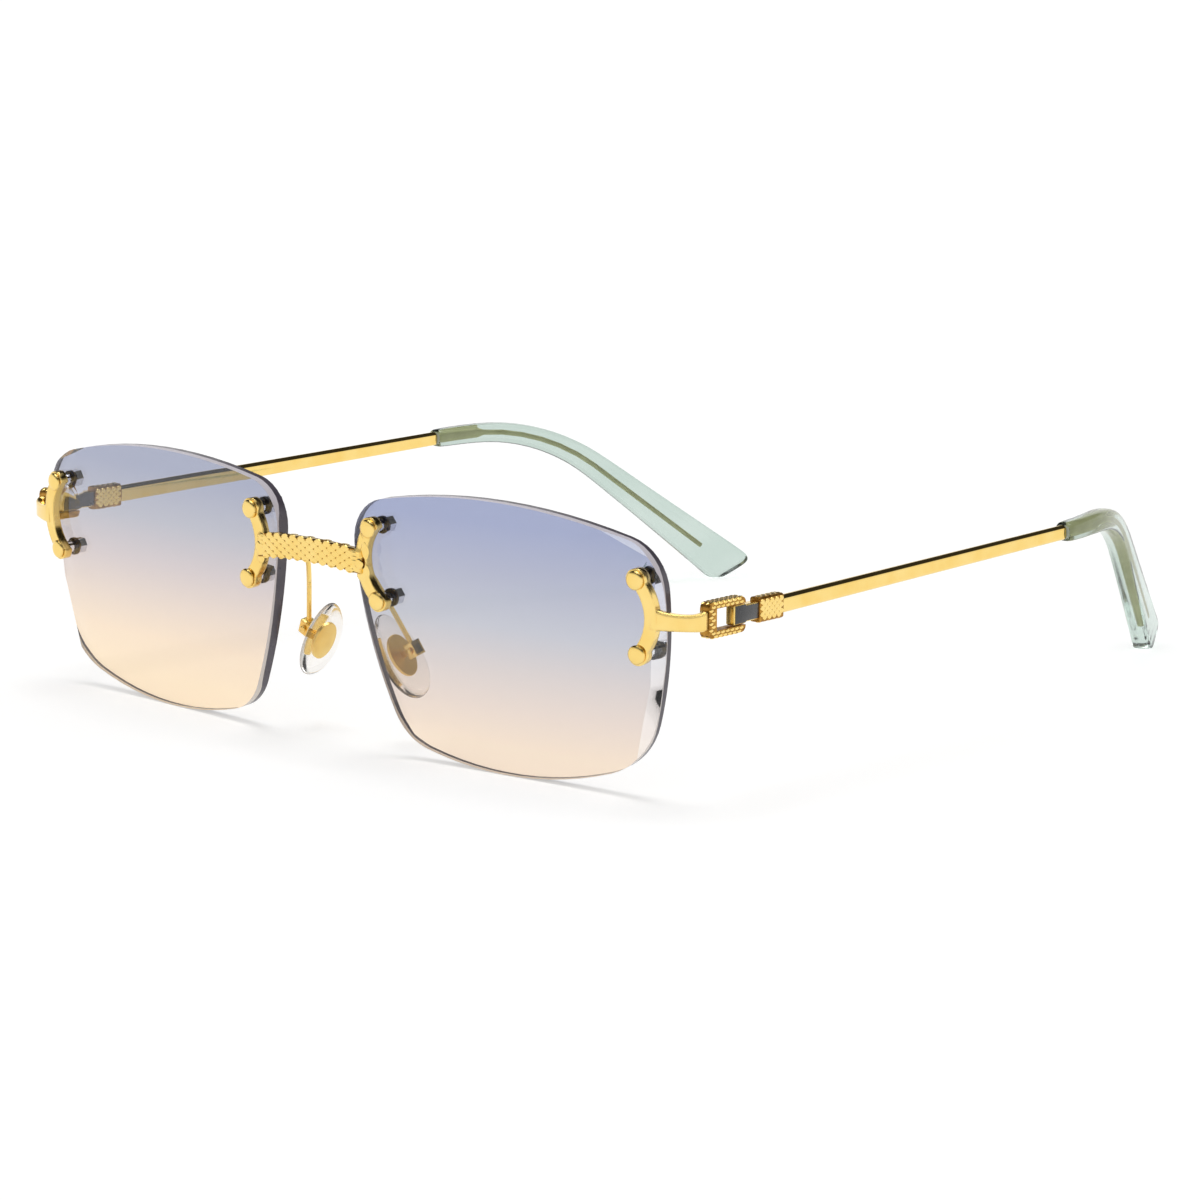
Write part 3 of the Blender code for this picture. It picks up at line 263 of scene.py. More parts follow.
def make_finishes():
    """Every material of the object, by a plain name."""
    made = {}
    polished = gold("polished_gold", 0.07, 0.14)
    made["gold"] = polished.relief(0.6 * MM, 0.01 * MM, 0.08, (1.0, 0.15, 1.0), ease=EDGE_EASE)
    made["bar"] = gold("bar_gold", 0.06, 0.12).relief(0.6 * MM, 0.01 * MM, 0.06, (1.0, 0.15, 1.0))
    made["grain"] = gold("pebbled_gold", 0.12, 0.2).relief(0.2 * MM, 0.01 * MM, 0.15)

    # Darker gold for the ground under the grains: painted shade in the recesses between them
    recess = Finish("gold_in_recesses", linear((150, 105, 40)), 0.35, Metallic=1.0)
    recess.colours(0.8 * MM, linear((140, 95, 32)), linear((205, 155, 72))).polish(0.5 * MM, 0.3, 0.5)
    made["recess"] = recess

    # Each lens gets its own copy of the tint; the left copy is darker by painted shade
    for side, table in TINTS.items():
        tint = Finish(f"lens_tint_and_painted_light_{side}", (0.8, 0.8, 0.8), 0.0, Transmission_Weight=1.0, IOR=1.5)
        tint.by_height(table).polish(9 * MM, 0.0, 0.015).lets_lamps_through((0.985, 0.985, 0.985))
        made[f"tint_{side}"] = tint

    facet = Finish("ground_facet", (1.0, 1.0, 1.0), 0.02, Transmission_Weight=1.0, IOR=1.5)
    facet.colours(3 * MM, (0.95, 0.94, 0.95), (1.0, 1.0, 1.0)).polish(1.5 * MM, 0.0, 0.03)
    made["facet"] = facet.lets_lamps_through((0.95, 0.95, 0.95))

    # Back band of the lens edge: a dark opaque colour that paints the shade seen in the clear lens's edge
    edge = Finish("polished_lens_edge", (0.05, 0.05, 0.06), 0.3, Coat_Weight=0.2)
    edge.colours(5 * MM, linear((62, 56, 68)), linear((84, 76, 88))).polish(1.2 * MM, 0.25, 0.4)
    made["edge"] = edge

    # Front band of the lens edge: a pale opaque colour that paints the light seen through the clear lens's
    # edge, graded by height
    rim = Finish("ground_lens_rim", (0.8, 0.78, 0.78), 0.4).polish(1.0 * MM, 0.3, 0.5)
    rim.by_height(PAINTED_EDGE_LIGHT)
    made["rim"] = rim

    made["brushed"] = gold("brushed_gold", 0.36, 0.5).relief(0.3 * MM, 0.01 * MM, 0.1)

    core = Finish("core_in_acetate", linear((195, 190, 145)), 0.4, Metallic=0.3)
    core.colours(3 * MM, linear((188, 182, 138)), linear((208, 202, 158))).polish(1.0 * MM, 0.35, 0.5)
    made["core"] = core

    end = Finish("acetate_end", linear((190, 202, 196)), 0.5)
    end.colours(1.5 * MM, linear((176, 190, 184)), linear((200, 212, 206))).polish(0.8 * MM, 0.4, 0.6)
    made["end"] = end

    acetate = Finish("translucent_acetate", (0.7, 0.88, 0.8), 0.1, Transmission_Weight=1.0, IOR=1.36)
    acetate.colours(7 * MM, linear((194, 211, 203)), linear((206, 220, 213)), (1.0, 0.4, 1.0))
    made["acetate"] = acetate.polish(3 * MM, 0.06, 0.14).lets_lamps_through((0.86, 0.93, 0.9))

    silicone = Finish("clear_silicone", (0.95, 0.94, 0.92), 0.1, Transmission_Weight=1.0, IOR=1.3)
    silicone.colours(3 * MM, linear((250, 247, 243)), linear((244, 241, 236))).polish(1.5 * MM, 0.05, 0.12)
    made["silicone"] = silicone.lets_lamps_through((0.93, 0.92, 0.9))

    # The pad's rim: greyer silicone that paints the shade along the pad's outline
    pad_rim_shade = Finish("silicone_rim_painted_shade", (0.6, 0.58, 0.55), 0.15, Transmission_Weight=1.0, IOR=1.3)
    pad_rim_shade.colours(2 * MM, linear((186, 181, 174)), linear((204, 199, 192))).polish(1.0 * MM, 0.1, 0.2)
    made["silicone_rim_painted_shade"] = pad_rim_shade.lets_lamps_through((0.9, 0.89, 0.87))

    enamel = Finish("black_enamel", (0.02, 0.02, 0.022), 0.25, Coat_Weight=0.3, Coat_Roughness=0.06)
    enamel.colours(0.9 * MM, (0.022, 0.022, 0.024), (0.034, 0.034, 0.037)).polish(0.6 * MM, 0.2, 0.32)
    made["enamel"] = enamel.relief(0.5 * MM, 0.01 * MM, 0.1)

    steel = Finish("nut_steel", (0.7, 0.7, 0.72), 0.12, Metallic=1.0)
    steel.colours(0.6 * MM, (0.66, 0.66, 0.69), (0.76, 0.76, 0.78)).polish(0.4 * MM, 0.1, 0.2)
    made["steel"] = steel

    rubber = Finish("washer_rubber", (0.03, 0.03, 0.034), 0.5)
    rubber.colours(0.5 * MM, (0.022, 0.021, 0.024), (0.045, 0.043, 0.047)).polish(0.4 * MM, 0.4, 0.6)
    made["rubber"] = rubber.relief(0.2 * MM, 0.02 * MM, 0.2)

    bush = Finish("clear_bush", (0.8, 0.78, 0.78), 0.1, Transmission_Weight=1.0, IOR=1.46)
    bush.colours(0.6 * MM, (0.78, 0.76, 0.76), (0.88, 0.87, 0.87)).polish(0.5 * MM, 0.08, 0.16)
    made["bush"] = bush.lets_lamps_through((0.9, 0.9, 0.9))
    return made


FINISH = make_finishes()


def welded(node):
    """A CAD node's mesh as one welded skin."""
    shape = bmesh.new()
    shape.from_mesh(NODES[node].data)
    bmesh.ops.remove_doubles(shape, verts=shape.verts, dist=0.0005 * MM)
    return shape


def joined_flats(shape):
    """Joins the triangles of each flat face."""
    bmesh.ops.dissolve_limit(shape, angle_limit=radians(0.4), verts=shape.verts, edges=shape.edges)
    return shape


def rounded(shape, radius, segments=3, sharp=radians(35)):
    """Rounds the sharp edges."""
    edges = [edge for edge in shape.edges if edge.is_manifold and edge.calc_face_angle() > sharp]
    bmesh.ops.bevel(
        shape, geom=edges, offset=radius, segments=segments, profile=0.5, affect="EDGES", clamp_overlap=True
    )
    return shape


def mesh_of(name, shape):
    bmesh.ops.recalc_face_normals(shape, faces=shape.faces)
    mesh = bpy.data.meshes.new(name)
    shape.to_mesh(mesh)
    shape.free()
    return mesh


def place_piece(name, mesh, body, slot, finishes, stands_for, smooth=radians(40)):
    """Adds a finished piece to the scene, riding on its body in place of its CAD nodes."""
    piece = bpy.data.objects.new(name, mesh)
    bpy.context.scene.collection.objects.link(piece)
    for finish in finishes:
        mesh.materials.append(FINISH[finish].material)
    mesh.shade_smooth()
    mesh.set_sharp_from_angle(angle=smooth)
    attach(piece, body)
    if stands_for:
        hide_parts(*stands_for)
    return piece


def flipped(mesh, name):
    """The same mesh on the other side of the middle plane."""
    shape = bmesh.new()
    shape.from_mesh(mesh)
    bmesh.ops.scale(shape, vec=(-1, 1, 1), verts=shape.verts)
    bmesh.ops.reverse_faces(shape, faces=shape.faces)
    made = bpy.data.meshes.new(name)
    shape.to_mesh(made)
    shape.free()
    return made


def other(name):
    return name.replace("left", "right")


def place_pair(name, mesh, body, slot, finishes, stands_for=(), even=False, **settings):
    """Adds a left piece and its mirror image. Even shading keeps the flats flat beside rounded edges."""
    twin = flipped(mesh, other(name))
    pieces = [
        place_piece(name, mesh, body, slot, finishes, stands_for, **settings),
        place_piece(
            other(name), twin, other(body), slot, finishes, [other(node) for node in stands_for], **settings
        ),
    ]
    if even:
        for piece in pieces:
            piece.modifiers.new("even_flats", "WEIGHTED_NORMAL").keep_sharp = True
    return pieces


def mesh_points(mesh):
    return np.array([vert.co for vert in mesh.vertices])


def turn_axis(points):
    """The middle and the long axis of a turned piece's points."""
    middle = points.mean(axis=0)
    _, axes = np.linalg.eigh(np.cov((points - middle).T))
    return Vector(middle), Vector(axes[:, 2])


def axis_frame(middle, axis):
    """A frame on an axis, with Z along it."""
    return Matrix.Translation(middle) @ axis.to_track_quat("Z", "Y").to_matrix().to_4x4()


def turned(profile, place, sides=40):
    """A smooth turned mesh from (radius, height) points, open profiles ending on the axis."""
    shape = bmesh.new()
    closed = profile[0] == profile[-1]
    points = profile[:-1] if closed else profile
    rings = []
    for radius, height in points:
        if radius == 0:
            rings.append([shape.verts.new((0, 0, height))] * sides)
        else:
            angles = [2 * pi * i / sides for i in range(sides)]
            rings.append([shape.verts.new((radius * cos(a), radius * sin(a), height)) for a in angles])
    pairs = list(zip(rings, rings[1:]))
    if closed:
        pairs.append((rings[-1], rings[0]))
    for near, far in pairs:
        for i in range(sides):
            j = (i + 1) % sides
            corners = list(dict.fromkeys((near[i], near[j], far[j], far[i])))
            shape.faces.new(corners)
    bmesh.ops.transform(shape, matrix=place, verts=shape.verts)
    return shape


def radial(points, place):
    """(radius, height) of points about a frame's Z axis."""
    inverse = np.array(place.inverted())
    local = points @ inverse[:3, :3].T + inverse[:3, 3]
    return np.hypot(local[:, 0], local[:, 1]), local[:, 2]


def outer_edge(shape, front):
    """The faces of a lens's ground outer edge, without the walls of its holes."""
    walls = {face for face in shape.faces if abs(face.normal.dot(front)) < sin(LENS_WALL_LEAN)}
    start = max(walls, key=lambda face: face.calc_center_median().x)
    seen = {start}
    todo = [start]
    while todo:
        face = todo.pop()
        for edge in face.edges:
            for near in edge.link_faces:
                if near in walls and near not in seen:
                    seen.add(near)
                    todo.append(near)
    return [face for face in shape.faces if face in seen]


def split_edge(shape, front):
    """Parts the outer edge into a front band of painted light and a back band of painted shade, the shade
    narrower at top and bottom.
    """
    walls = outer_edge(shape, front)
    inside = set(walls)
    cross = []
    for edge in shape.edges:
        way = (edge.verts[1].co - edge.verts[0].co).normalized()
        if abs(way.dot(front)) > 0.8 and all(face in inside for face in edge.link_faces):
            cross.append(edge)
    cuts = set()
    for edge in cross:
        tilt = max(abs(face.normal.z) for face in edge.link_faces)
        share = min(max((tilt - LENS_TILT_START) / LENS_TILT_SPAN, 0.0), 1.0)
        dark = LENS_SHADE_SIDES + (LENS_SHADE_ENDS - LENS_SHADE_SIDES) * share
        back = min(edge.verts, key=lambda vert: vert.co.dot(front))
        cuts.add(bmesh.utils.edge_split(edge, back, dark)[1])
    light = []
    dark = []
    for face in walls:
        ends = [vert for vert in face.verts if vert in cuts]
        if len(ends) == 2:
            other_half, _ = bmesh.utils.face_split(face, *ends)
            halves = sorted((face, other_half), key=lambda half: half.calc_center_median().dot(front))
            dark.append(halves[0])
            light.append(halves[1])
        else:
            dark.append(face)
    return light, dark


def make_lens():
    """The lens with its ground facets, its rim eased, each surface given its own finish and its outer edge
    painted with bands of light and shade.
    """
    shape = joined_flats(welded("lens_left"))
    bmesh.ops.recalc_face_normals(shape, faces=shape.faces)
    faces = [face for face in shape.faces if face.normal.y < -0.9]
    front = sum((face.normal * face.calc_area() for face in faces), Vector()).normalized()
    rounded(shape, LENS_ROUND, 2, radians(25))
    bmesh.ops.recalc_face_normals(shape, faces=shape.faces)
    light, dark = split_edge(shape, front)
    for face in shape.faces:
        face.material_index = 0 if abs(face.normal.dot(front)) > cos(LENS_FACE_LEAN) else 1
    # The front band of the edge takes the painted light, the back band the painted shade
    for face in light:
        face.material_index = 3
    for face in dark:
        face.material_index = 2
    mesh = mesh_of("lens_left_glass", shape)
    finishes = ("tint_left", "facet", "edge", "rim")
    _, right = place_pair(
        "lens_left_glass", mesh, "front", "lens", finishes, ["lens_left"], smooth=radians(20)
    )
    right.data.materials[0] = FINISH["tint_right"].material


def make_metal():
    """End pieces, hinge pieces, pad metal and temple bars, with rounded edges."""
    plan = (
        ("end_piece_left", "front", STRAP_ROUND, "gold"),
        # The buckle and the collar take the darker gold, which paints shade between their grains
        ("buckle_left", "front", SMALL_ROUND, "recess"),
        ("collar_left", "temple_left", SMALL_ROUND, "recess"),
        ("link_left", "temple_left", SMALL_ROUND, "gold"),
        ("pad_arm_left", "front", SMALL_ROUND, "gold"),
        ("pad_insert_left", "pad_left", SMALL_ROUND, "brushed"),
    )
    for node, body, radius, finish in plan:
        mesh = mesh_of(f"{node}_finished", rounded(joined_flats(welded(node)), radius))
        place_pair(f"{node}_finished", mesh, body, "gold", (finish,), [node], even=True)

    shape = rounded(joined_flats(welded("temple_bar_left")), BAR_ROUND)
    covered = mesh_points(NODES["temple_tip_left"].data)[:, 1].min() + 0.3 * MM
    for face in shape.faces:
        face.material_index = 1 if face.calc_center_median().y > covered else 0
    name = "temple_bar_left_finished"
    mesh = mesh_of(name, shape)
    place_pair(name, mesh, "temple_left", "gold", ("bar", "core"), ["temple_bar_left"], even=True)


def make_bridge():
    shape = rounded(joined_flats(welded("bridge")), STRAP_ROUND)
    # The middle of the bridge, under its grains, takes the darker gold of painted shade
    for face in shape.faces:
        face.material_index = 1 if abs(face.calc_center_median().x) < BRIDGE_GRAIN_REACH - 1.8 * MM else 0
    mesh = mesh_of("bridge_finished", shape)
    piece = place_piece("bridge_finished", mesh, "front", "gold", ("gold", "recess"), ["bridge"])
    piece.modifiers.new("even_flats", "WEIGHTED_NORMAL").keep_sharp = True


def grain_mesh(name, places):
    """Small raised grains with a rounded lozenge outline, one at each frame, of the half sizes given."""
    rings = ((1.0, -GRAIN_SINK), (0.9, GRAIN_LIFT * 0.4), (0.55, GRAIN_LIFT * 0.85))
    turns = [2 * pi * (i + 0.5) / GRAIN_SIDES for i in range(GRAIN_SIDES)]
    rim = [(copysign(abs(cos(a)) ** 1.3, cos(a)), copysign(abs(sin(a)) ** 1.3, sin(a))) for a in turns]
    points = []
    faces = []
    for place, half_x, half_y in places:
        start = len(points)
        for share, height in rings:
            points += [place @ Vector((half_x * share * x, half_y * share * y, height)) for x, y in rim]
        points.append(place @ Vector((0, 0, GRAIN_LIFT)))
        for low in (start, start + GRAIN_SIDES):
            for i in range(GRAIN_SIDES):
                j = (i + 1) % GRAIN_SIDES
                faces.append((low + i, low + j, low + GRAIN_SIDES + j, low + GRAIN_SIDES + i))
        last = start + 2 * GRAIN_SIDES
        for i in range(GRAIN_SIDES):
            faces.append((last + i, last + (i + 1) % GRAIN_SIDES, len(points) - 1))
    mesh = bpy.data.meshes.new(name)
    mesh.from_pydata(points, [], faces)
    return mesh


def surface_frame(point, normal, along):
    """A frame on a surface: X along it, Z out of it."""
    sideways = (along - normal * along.dot(normal)).normalized()
    axes = Matrix((sideways, normal.cross(sideways), normal)).transposed()
    return Matrix.Translation(point) @ axes.to_4x4()


def tree_of(node):
    shape = welded(node)
    tree = BVHTree.FromBMesh(shape)
    shape.free()
    return tree


def bridge_grains():
    """Staggered rows that follow the bar, on its front, top and underside."""
    points = mesh_points(NODES["bridge"].data)
    bar = points[np.abs(points[:, 0]) < BRIDGE_GRAIN_REACH]
    stations = np.unique(np.round(bar[:, 0], 5))
    rings = [bar[np.abs(bar[:, 0] - x) < 0.02 * MM] for x in stations]
    full = [(x, ring) for x, ring in zip(stations, rings) if len(ring) >= 8]
    xs = [x for x, _ in full]
    top = [ring[:, 2].max() for _, ring in full]
    bottom = [ring[:, 2].min() for _, ring in full]
    front = [ring[:, 1].min() for _, ring in full]
    back = [ring[:, 1].max() for _, ring in full]
    tree = tree_of("bridge")
    pitch = BRIDGE_GRAIN_PITCH
    count = int(2 * BRIDGE_GRAIN_REACH / pitch)
    along = Vector((1, 0, 0))
    places = []
    for row in range(BRIDGE_GRAIN_ROWS):
        for column in range(count + 1):
            x = pitch * (column - count / 2 + 0.5 * (row % 2))
            share = (row + 0.5) / BRIDGE_GRAIN_ROWS
            low, high = np.interp(x, xs, bottom), np.interp(x, xs, top)
            start = Vector((x, np.interp(x, xs, front) - 5 * MM, low + (high - low) * share))
            hit, normal, _, _ = tree.ray_cast(start, Vector((0, 1, 0)), 8 * MM)
            if hit and normal.y < -0.8:
                half = (high - low) / BRIDGE_GRAIN_ROWS * 0.95
                places.append((surface_frame(hit, normal, along), pitch * 0.48, half))
    for side, limit in ((1, top), (-1, bottom)):
        for row in range(3):
            for column in range(count + 1):
                x = pitch * (column - count / 2 + 0.5 * (row % 2))
                near, far = np.interp(x, xs, front), np.interp(x, xs, back)
                y = near + (far - near) * (row + 0.5) / 3
                start = Vector((x, y, np.interp(x, xs, limit) + side * 3 * MM))
                hit, normal, _, _ = tree.ray_cast(start, Vector((0, 0, -side)), 4 * MM)
                if hit and abs(normal.z) > 0.85 and abs(x) < BRIDGE_GRAIN_REACH - 1.5 * MM:
                    places.append((surface_frame(hit, normal, along), pitch * 0.48, (far - near) / 3 * 0.9))
    return places


def temple_frame():
    place = Vector(JOINTS["temple_left_hinge"]["pos_m"])
    return Matrix.Translation(place) @ Matrix.Rotation(TEMPLE_TOE, 4, "Z")


def local_limits(node, place):
    """A node's lowest and highest corners in a frame."""
    inverse = np.array(place.inverted())
    local = mesh_points(NODES[node].data) @ inverse[:3, :3].T + inverse[:3, 3]
    return Vector(local.min(axis=0)), Vector(local.max(axis=0))


def hinge_grains(node, sides, spread):
    """Even rows of grains on the given sides of a hinge piece, each an axis and a direction."""
    place = temple_frame()
    inverse = place.inverted()
    low, high = local_limits(node, place)
    tree = tree_of(node)
    turn = place.to_3x3()
    along = turn @ Vector((0, 1, 0))
    places = []
    for axis, side in sides:
        across = 2 - axis
        columns = round((high.y - low.y) / HINGE_GRAIN_PITCH)
        rows = round((high[across] - low[across]) / HINGE_GRAIN_ROW)
        half_y = (high.y - low.y) / columns / 2
        half_across = (high[across] - low[across]) / rows / 2
        for column in range(columns):
            for row in range(rows):
                local = Vector((0, low.y + half_y * (2 * column + 1 + row % 2), 0))
                local[across] = low[across] + half_across * (2 * row + 1)
                corners = []
                for step_y, step_across in ((0, 0), (1, 1), (1, -1), (-1, 1), (-1, -1)):
                    start = local.copy()
                    start.y += step_y * half_y * 0.55
                    start[across] += step_across * half_across * 0.55
                    start[axis] = high[axis] + MM if side > 0 else low[axis] - MM
                    way = Vector((0, 0, 0))
                    way[axis] = -side
                    hit, normal, _, _ = tree.ray_cast(place @ start, turn @ way, 1.35 * MM)
                    corners.append((hit, normal))
                if all(hit for hit, _ in corners):
                    hit, normal = corners[0]
                    level = (inverse.to_3x3() @ normal)[axis] * side
                    if level > 0.95:
                        frame_here = surface_frame(hit, normal, along)
                        places.append((frame_here, half_y * 0.95, half_across * spread))
    return places


def make_grains():
    mesh = grain_mesh("bridge_grains", bridge_grains())
    place_piece("bridge_grains", mesh, "front", "gold", ("grain",), [])
    outer = ((0, 1), (2, 1), (2, -1))
    plan = (
        ("buckle_left", "front", outer, BUCKLE_GRAIN_SPREAD),
        ("collar_left", "temple_left", (*outer, (0, -1)), COLLAR_GRAIN_SPREAD),
    )
    for node, body, sides, spread in plan:
        mesh = grain_mesh(f"{node}_grains", hinge_grains(node, sides, spread))
        place_pair(f"{node}_grains", mesh, body, "gold", ("grain",))


def make_enamel():
    """A raised black panel on the outer and inner face of each link, inside a thin gold rim."""
    place = temple_frame()
    low, high = local_limits("link_left", place)
    collar_front = local_limits("collar_left", place)[0].y
    neck_points = mesh_points(NODES["link_left"].data)
    inverse = np.array(place.inverted())
    local = neck_points @ inverse[:3, :3].T + inverse[:3, 3]
    neck = local[np.abs(local[:, 1] - (collar_front - 0.1 * MM)) < 0.2 * MM]
    neck_half = np.abs(neck[:, 2]).max() - ENAMEL_INSET
    head_half = high.z - ENAMEL_INSET
    head_rear = -low.y
    slope = head_half - neck_half
    outline = [
        (low.y + ENAMEL_INSET, head_half),
        (head_rear, head_half),
        (head_rear + slope, neck_half),
        (collar_front - ENAMEL_INSET, neck_half),
    ]
    outline += [(y, -z) for y, z in reversed(outline)]
    shape = bmesh.new()
    for side, x in ((1, high.x), (-1, low.x)):
        rows = []
        for lift in (-ENAMEL_LIFT, ENAMEL_LIFT):
            rows.append([shape.verts.new((x + side * lift, y, z)) for y, z in outline])
        count = len(outline)
        for i in range(count):
            j = (i + 1) % count
            shape.faces.new((rows[0][i], rows[0][j], rows[1][j], rows[1][i]))
        shape.faces.new(rows[0])
        shape.faces.new(rows[1])
    bmesh.ops.transform(shape, matrix=place, verts=shape.verts)
    rounded(shape, ENAMEL_LIFT * 0.8, 2)
    place_pair("link_left_enamel", mesh_of("link_left_enamel", shape), "temple_left", "enamel", ("enamel",))


def outer_skin(node, toward):
    """The outside of a bored piece: its skin without the bore, closed where the bore came out."""
    shape = welded(node)
    shape.verts.ensure_lookup_table()
    bmesh.ops.recalc_face_normals(shape, faces=shape.faces)
    start = max(shape.verts, key=lambda vert: vert.co.dot(toward)).link_faces[0]
    seen = {start}
    todo = [start]
    while todo:
        face = todo.pop()
        for edge in face.edges:
            for near in edge.link_faces:
                if near not in seen and near.normal.dot(toward) > -0.97:
                    seen.add(near)
                    todo.append(near)
    bmesh.ops.delete(shape, geom=[face for face in shape.faces if face not in seen], context="FACES")
    bmesh.ops.holes_fill(shape, edges=[edge for edge in shape.edges if edge.is_boundary])
    return shape


def make_tip():
    shape = outer_skin("temple_tip_left", Vector((0, 1, 0)))
    bmesh.ops.join_triangles(
        shape, faces=shape.faces, angle_face_threshold=radians(25), angle_shape_threshold=radians(60)
    )
    for face in shape.faces:
        face.material_index = 1 if face.normal.y < -0.97 else 0
    mesh = mesh_of("temple_tip_left_acetate", shape)
    finishes = ("acetate", "end")
    pieces = place_pair(
        "temple_tip_left_acetate", mesh, "temple_left", "tip", finishes, ["temple_tip_left"], smooth=pi
    )
    for piece in pieces:
        smooth = piece.modifiers.new("smooth", "SUBSURF")
        smooth.levels = smooth.render_levels = 2


def make_pad():
    """A clear soft oval, narrower at its top, moulded round the insert."""
    joint = JOINTS["nose_pad_left_rock"]
    points = mesh_points(NODES["nose_pad_left"].data)
    middle, upward = turn_axis(points)
    upward *= 1 if upward.z > 0 else -1
    sideways = Vector(joint["axis"])
    sideways = (sideways - upward * sideways.dot(upward)).normalized()
    axes = Matrix((sideways, upward, sideways.cross(upward))).transposed()
    place = Matrix.Translation(middle) @ axes.to_4x4()
    low, high = local_limits("nose_pad_left", place)
    centre = (low + high) / 2
    half = (high - low) / 2
    shape = bmesh.new()
    bmesh.ops.create_uvsphere(shape, u_segments=40, v_segments=28, radius=1.0)
    for vert in shape.verts:
        x, y, z = vert.co
        narrow = (1 - PAD_TAPER * z) / (1 + PAD_TAPER * PAD_TAPER / 2)
        offset = Vector((x * narrow * half.x, z * half.y, y * half.z))
        vert.co = place @ (centre + offset)
    bmesh.ops.recalc_face_normals(shape, faces=shape.faces)
    thin = place.to_3x3() @ Vector((0, 0, 1))
    # The rim gets the greyer silicone: painted shade along the pad's outline
    for face in shape.faces:
        face.material_index = 1 if abs(face.normal.dot(thin)) < PAD_RIM_LEAN else 0
    name = "nose_pad_left_silicone"
    mesh = mesh_of(name, shape)
    place_pair(name, mesh, "pad_left", "pad", ("silicone", "silicone_rim_painted_shade"), ["nose_pad_left"], smooth=pi)


def make_fasteners():
    """Domed screws, clear bushes and washers at the lens holes, turned smooth about their axes, with the
    nuts there and the hinge and pad screws given rounded edges.
    """
    for where in ("inner_top", "inner_bottom", "outer_top", "outer_bottom"):
        screw_points = mesh_points(NODES[f"lens_screw_left_{where}"].data)
        middle, axis = turn_axis(np.unique(np.round(screw_points, 7), axis=0))
        axis *= -1 if axis.y > 0 else 1
        place = axis_frame(middle, axis)
        radii, heights = radial(screw_points, place)
        head = radii.max()
        seat = heights[radii > head * 0.98].min()
        top = heights.max()
        tail = heights.min()
        shank = radii[heights < tail + 0.01 * MM].max()
        dome = top - seat - SCREW_HEAD_RIM
        profile = [(0.0, top)]
        for i in range(1, 11):
            angle = pi / 2 * i / 10
            profile.append((head * sin(angle), seat + SCREW_HEAD_RIM + dome * cos(angle)))
        profile += [(head, seat + SCREW_HEAD_EASE), (head - SCREW_HEAD_EASE, seat)]
        profile += [(shank, seat), (shank, tail), (0.0, tail)]
        mesh = mesh_of(f"lens_screw_left_{where}_finished", turned(profile, place))
        name = f"lens_screw_left_{where}"
        place_pair(f"{name}_finished", mesh, "front", "gold", ("gold",), [name], smooth=radians(30))
        for kind, finish, slot in (("bush", "bush", "bush"), ("washer", "rubber", "washer")):
            name = f"lens_{kind}_left_{where}"
            radii, heights = radial(mesh_points(NODES[name].data), place)
            inner, outer, bottom, height = radii.min(), radii.max(), heights.min(), heights.max()
            ring = [
                (outer, height - RING_EASE),
                (outer, bottom + RING_EASE),
                (outer - RING_EASE, bottom),
                (inner, bottom),
                (inner, height),
                (outer - RING_EASE, height),
                (outer, height - RING_EASE),
            ]
            mesh = mesh_of(f"{name}_finished", turned(ring, place))
            place_pair(f"{name}_finished", mesh, "front", slot, (finish,), [name], smooth=radians(50))
        name = f"lens_nut_left_{where}"
        mesh = mesh_of(f"{name}_finished", rounded(joined_flats(welded(name)), SMALL_ROUND))
        place_pair(f"{name}_finished", mesh, "front", "nut", ("steel",), [name], even=True)
    for node in ("hinge_screw_left", "pad_screw_left"):
        mesh = mesh_of(f"{node}_finished", rounded(joined_flats(welded(node)), SCREW_ROUND, 2))
        place_pair(f"{node}_finished", mesh, "front", "gold", ("gold",), [node], even=True)


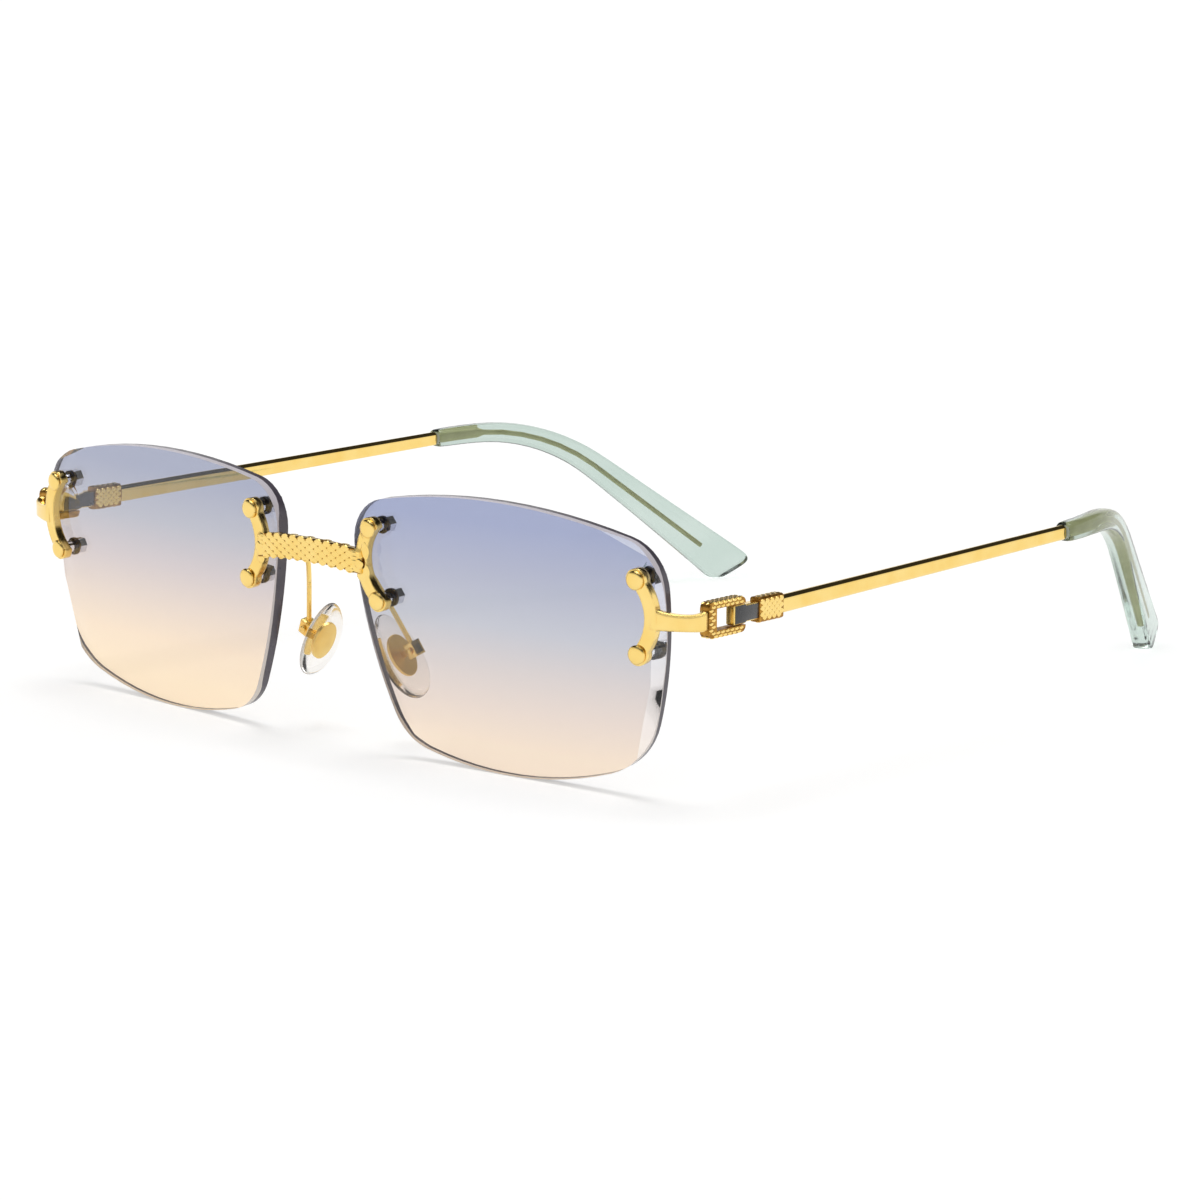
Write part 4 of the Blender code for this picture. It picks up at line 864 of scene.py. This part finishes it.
def make_stage():
    """A white floor that keeps the object's shadow, a white surround and soft light from above."""
    world = bpy.data.worlds.new("studio")
    bpy.context.scene.world = world
    world.use_nodes = True
    tree = world.node_tree
    tree.nodes.clear()
    coordinates = tree.nodes.new("ShaderNodeTexCoord")
    split = tree.nodes.new("ShaderNodeSeparateXYZ")
    ramp = tree.nodes.new("ShaderNodeValToRGB")
    stops = ((0.0, 1.0), (0.30, 1.0), (0.40, 0.03), (0.80, 0.03), (0.88, 1.0))
    while len(ramp.color_ramp.elements) < len(stops):
        ramp.color_ramp.elements.new(0.5)
    for element, (position, level) in zip(ramp.color_ramp.elements, stops):
        element.position = position
        element.color = (level, level, level, 1.0)
    surround = tree.nodes.new("ShaderNodeBackground")
    soft = tree.nodes.new("ShaderNodeBackground")
    soft.inputs["Color"].default_value = (1.0, 1.0, 1.0, 1.0)
    soft.inputs["Strength"].default_value = SOFT_LEVEL
    path = tree.nodes.new("ShaderNodeLightPath")
    mix = tree.nodes.new("ShaderNodeMixShader")
    out = tree.nodes.new("ShaderNodeOutputWorld")
    tree.links.new(coordinates.outputs["Generated"], split.inputs["Vector"])
    tree.links.new(split.outputs["Z"], ramp.inputs["Fac"])
    tree.links.new(ramp.outputs["Color"], surround.inputs["Color"])
    tree.links.new(path.outputs["Is Diffuse Ray"], mix.inputs["Fac"])
    tree.links.new(surround.outputs["Background"], mix.inputs[1])
    tree.links.new(soft.outputs["Background"], mix.inputs[2])
    tree.links.new(mix.outputs["Shader"], out.inputs["Surface"])

    shape = bmesh.new()
    bmesh.ops.create_grid(shape, x_segments=1, y_segments=1, size=3.0)
    mesh = bpy.data.meshes.new("floor")
    shape.to_mesh(mesh)
    shape.free()
    floor = bpy.data.objects.new("floor", mesh)
    bpy.context.scene.collection.objects.link(floor)
    floor.location.z = -0.05 * MM
    paper = bpy.data.materials.new("white_table")
    paper.use_nodes = True
    tree = paper.node_tree
    tree.nodes.clear()
    diffuse = tree.nodes.new("ShaderNodeBsdfDiffuse")
    diffuse.inputs["Color"].default_value = (0.8, 0.8, 0.8, 1.0)
    glow = tree.nodes.new("ShaderNodeEmission")
    glow.inputs["Color"].default_value = (1.0, 1.0, 1.0, 1.0)
    glow.inputs["Strength"].default_value = FLOOR_GLOW
    add = tree.nodes.new("ShaderNodeAddShader")
    path = tree.nodes.new("ShaderNodeLightPath")
    mix = tree.nodes.new("ShaderNodeMixShader")
    out = tree.nodes.new("ShaderNodeOutputMaterial")
    tree.links.new(diffuse.outputs["BSDF"], add.inputs[0])
    tree.links.new(glow.outputs["Emission"], add.inputs[1])
    tree.links.new(path.outputs["Is Diffuse Ray"], mix.inputs["Fac"])
    tree.links.new(add.outputs["Shader"], mix.inputs[1])
    tree.links.new(diffuse.outputs["BSDF"], mix.inputs[2])
    tree.links.new(mix.outputs["Shader"], out.inputs["Surface"])
    mesh.materials.append(paper)

    lamp = bpy.data.lights.new("softbox", "SUN")
    lamp.energy = LAMP_LEVEL
    lamp.angle = radians(30)
    held = bpy.data.objects.new("softbox", lamp)
    held.rotation_euler = Vector((0.15, -0.1, -1)).to_track_quat("-Z", "Y").to_euler()
    bpy.context.scene.collection.objects.link(held)


def make_camera():
    data = bpy.data.cameras.new("camera")
    data.lens = CAMERA_LENS
    data.sensor_width = 36.0
    data.clip_start = 0.01
    camera = bpy.data.objects.new("camera", data)
    bpy.context.scene.collection.objects.link(camera)
    az, el, roll = CAMERA_AZIMUTH, CAMERA_ELEVATION, CAMERA_ROLL
    back = Vector((sin(az) * cos(el), -cos(az) * cos(el), sin(el)))
    right = Vector((cos(az), sin(az), 0))
    up = back.cross(right)
    tilted_right = right * cos(roll) + up * sin(roll)
    tilted_up = up * cos(roll) - right * sin(roll)
    axes = Matrix((tilted_right, tilted_up, back)).transposed().to_4x4()
    camera.matrix_world = Matrix.Translation(CAMERA_PLACE) @ axes
    bpy.context.scene.camera = camera


make_lens()
make_metal()
make_bridge()
make_grains()
make_enamel()
make_tip()
make_pad()
make_fasteners()
make_stage()
make_camera()
bpy.context.scene.view_settings.view_transform = "Standard"
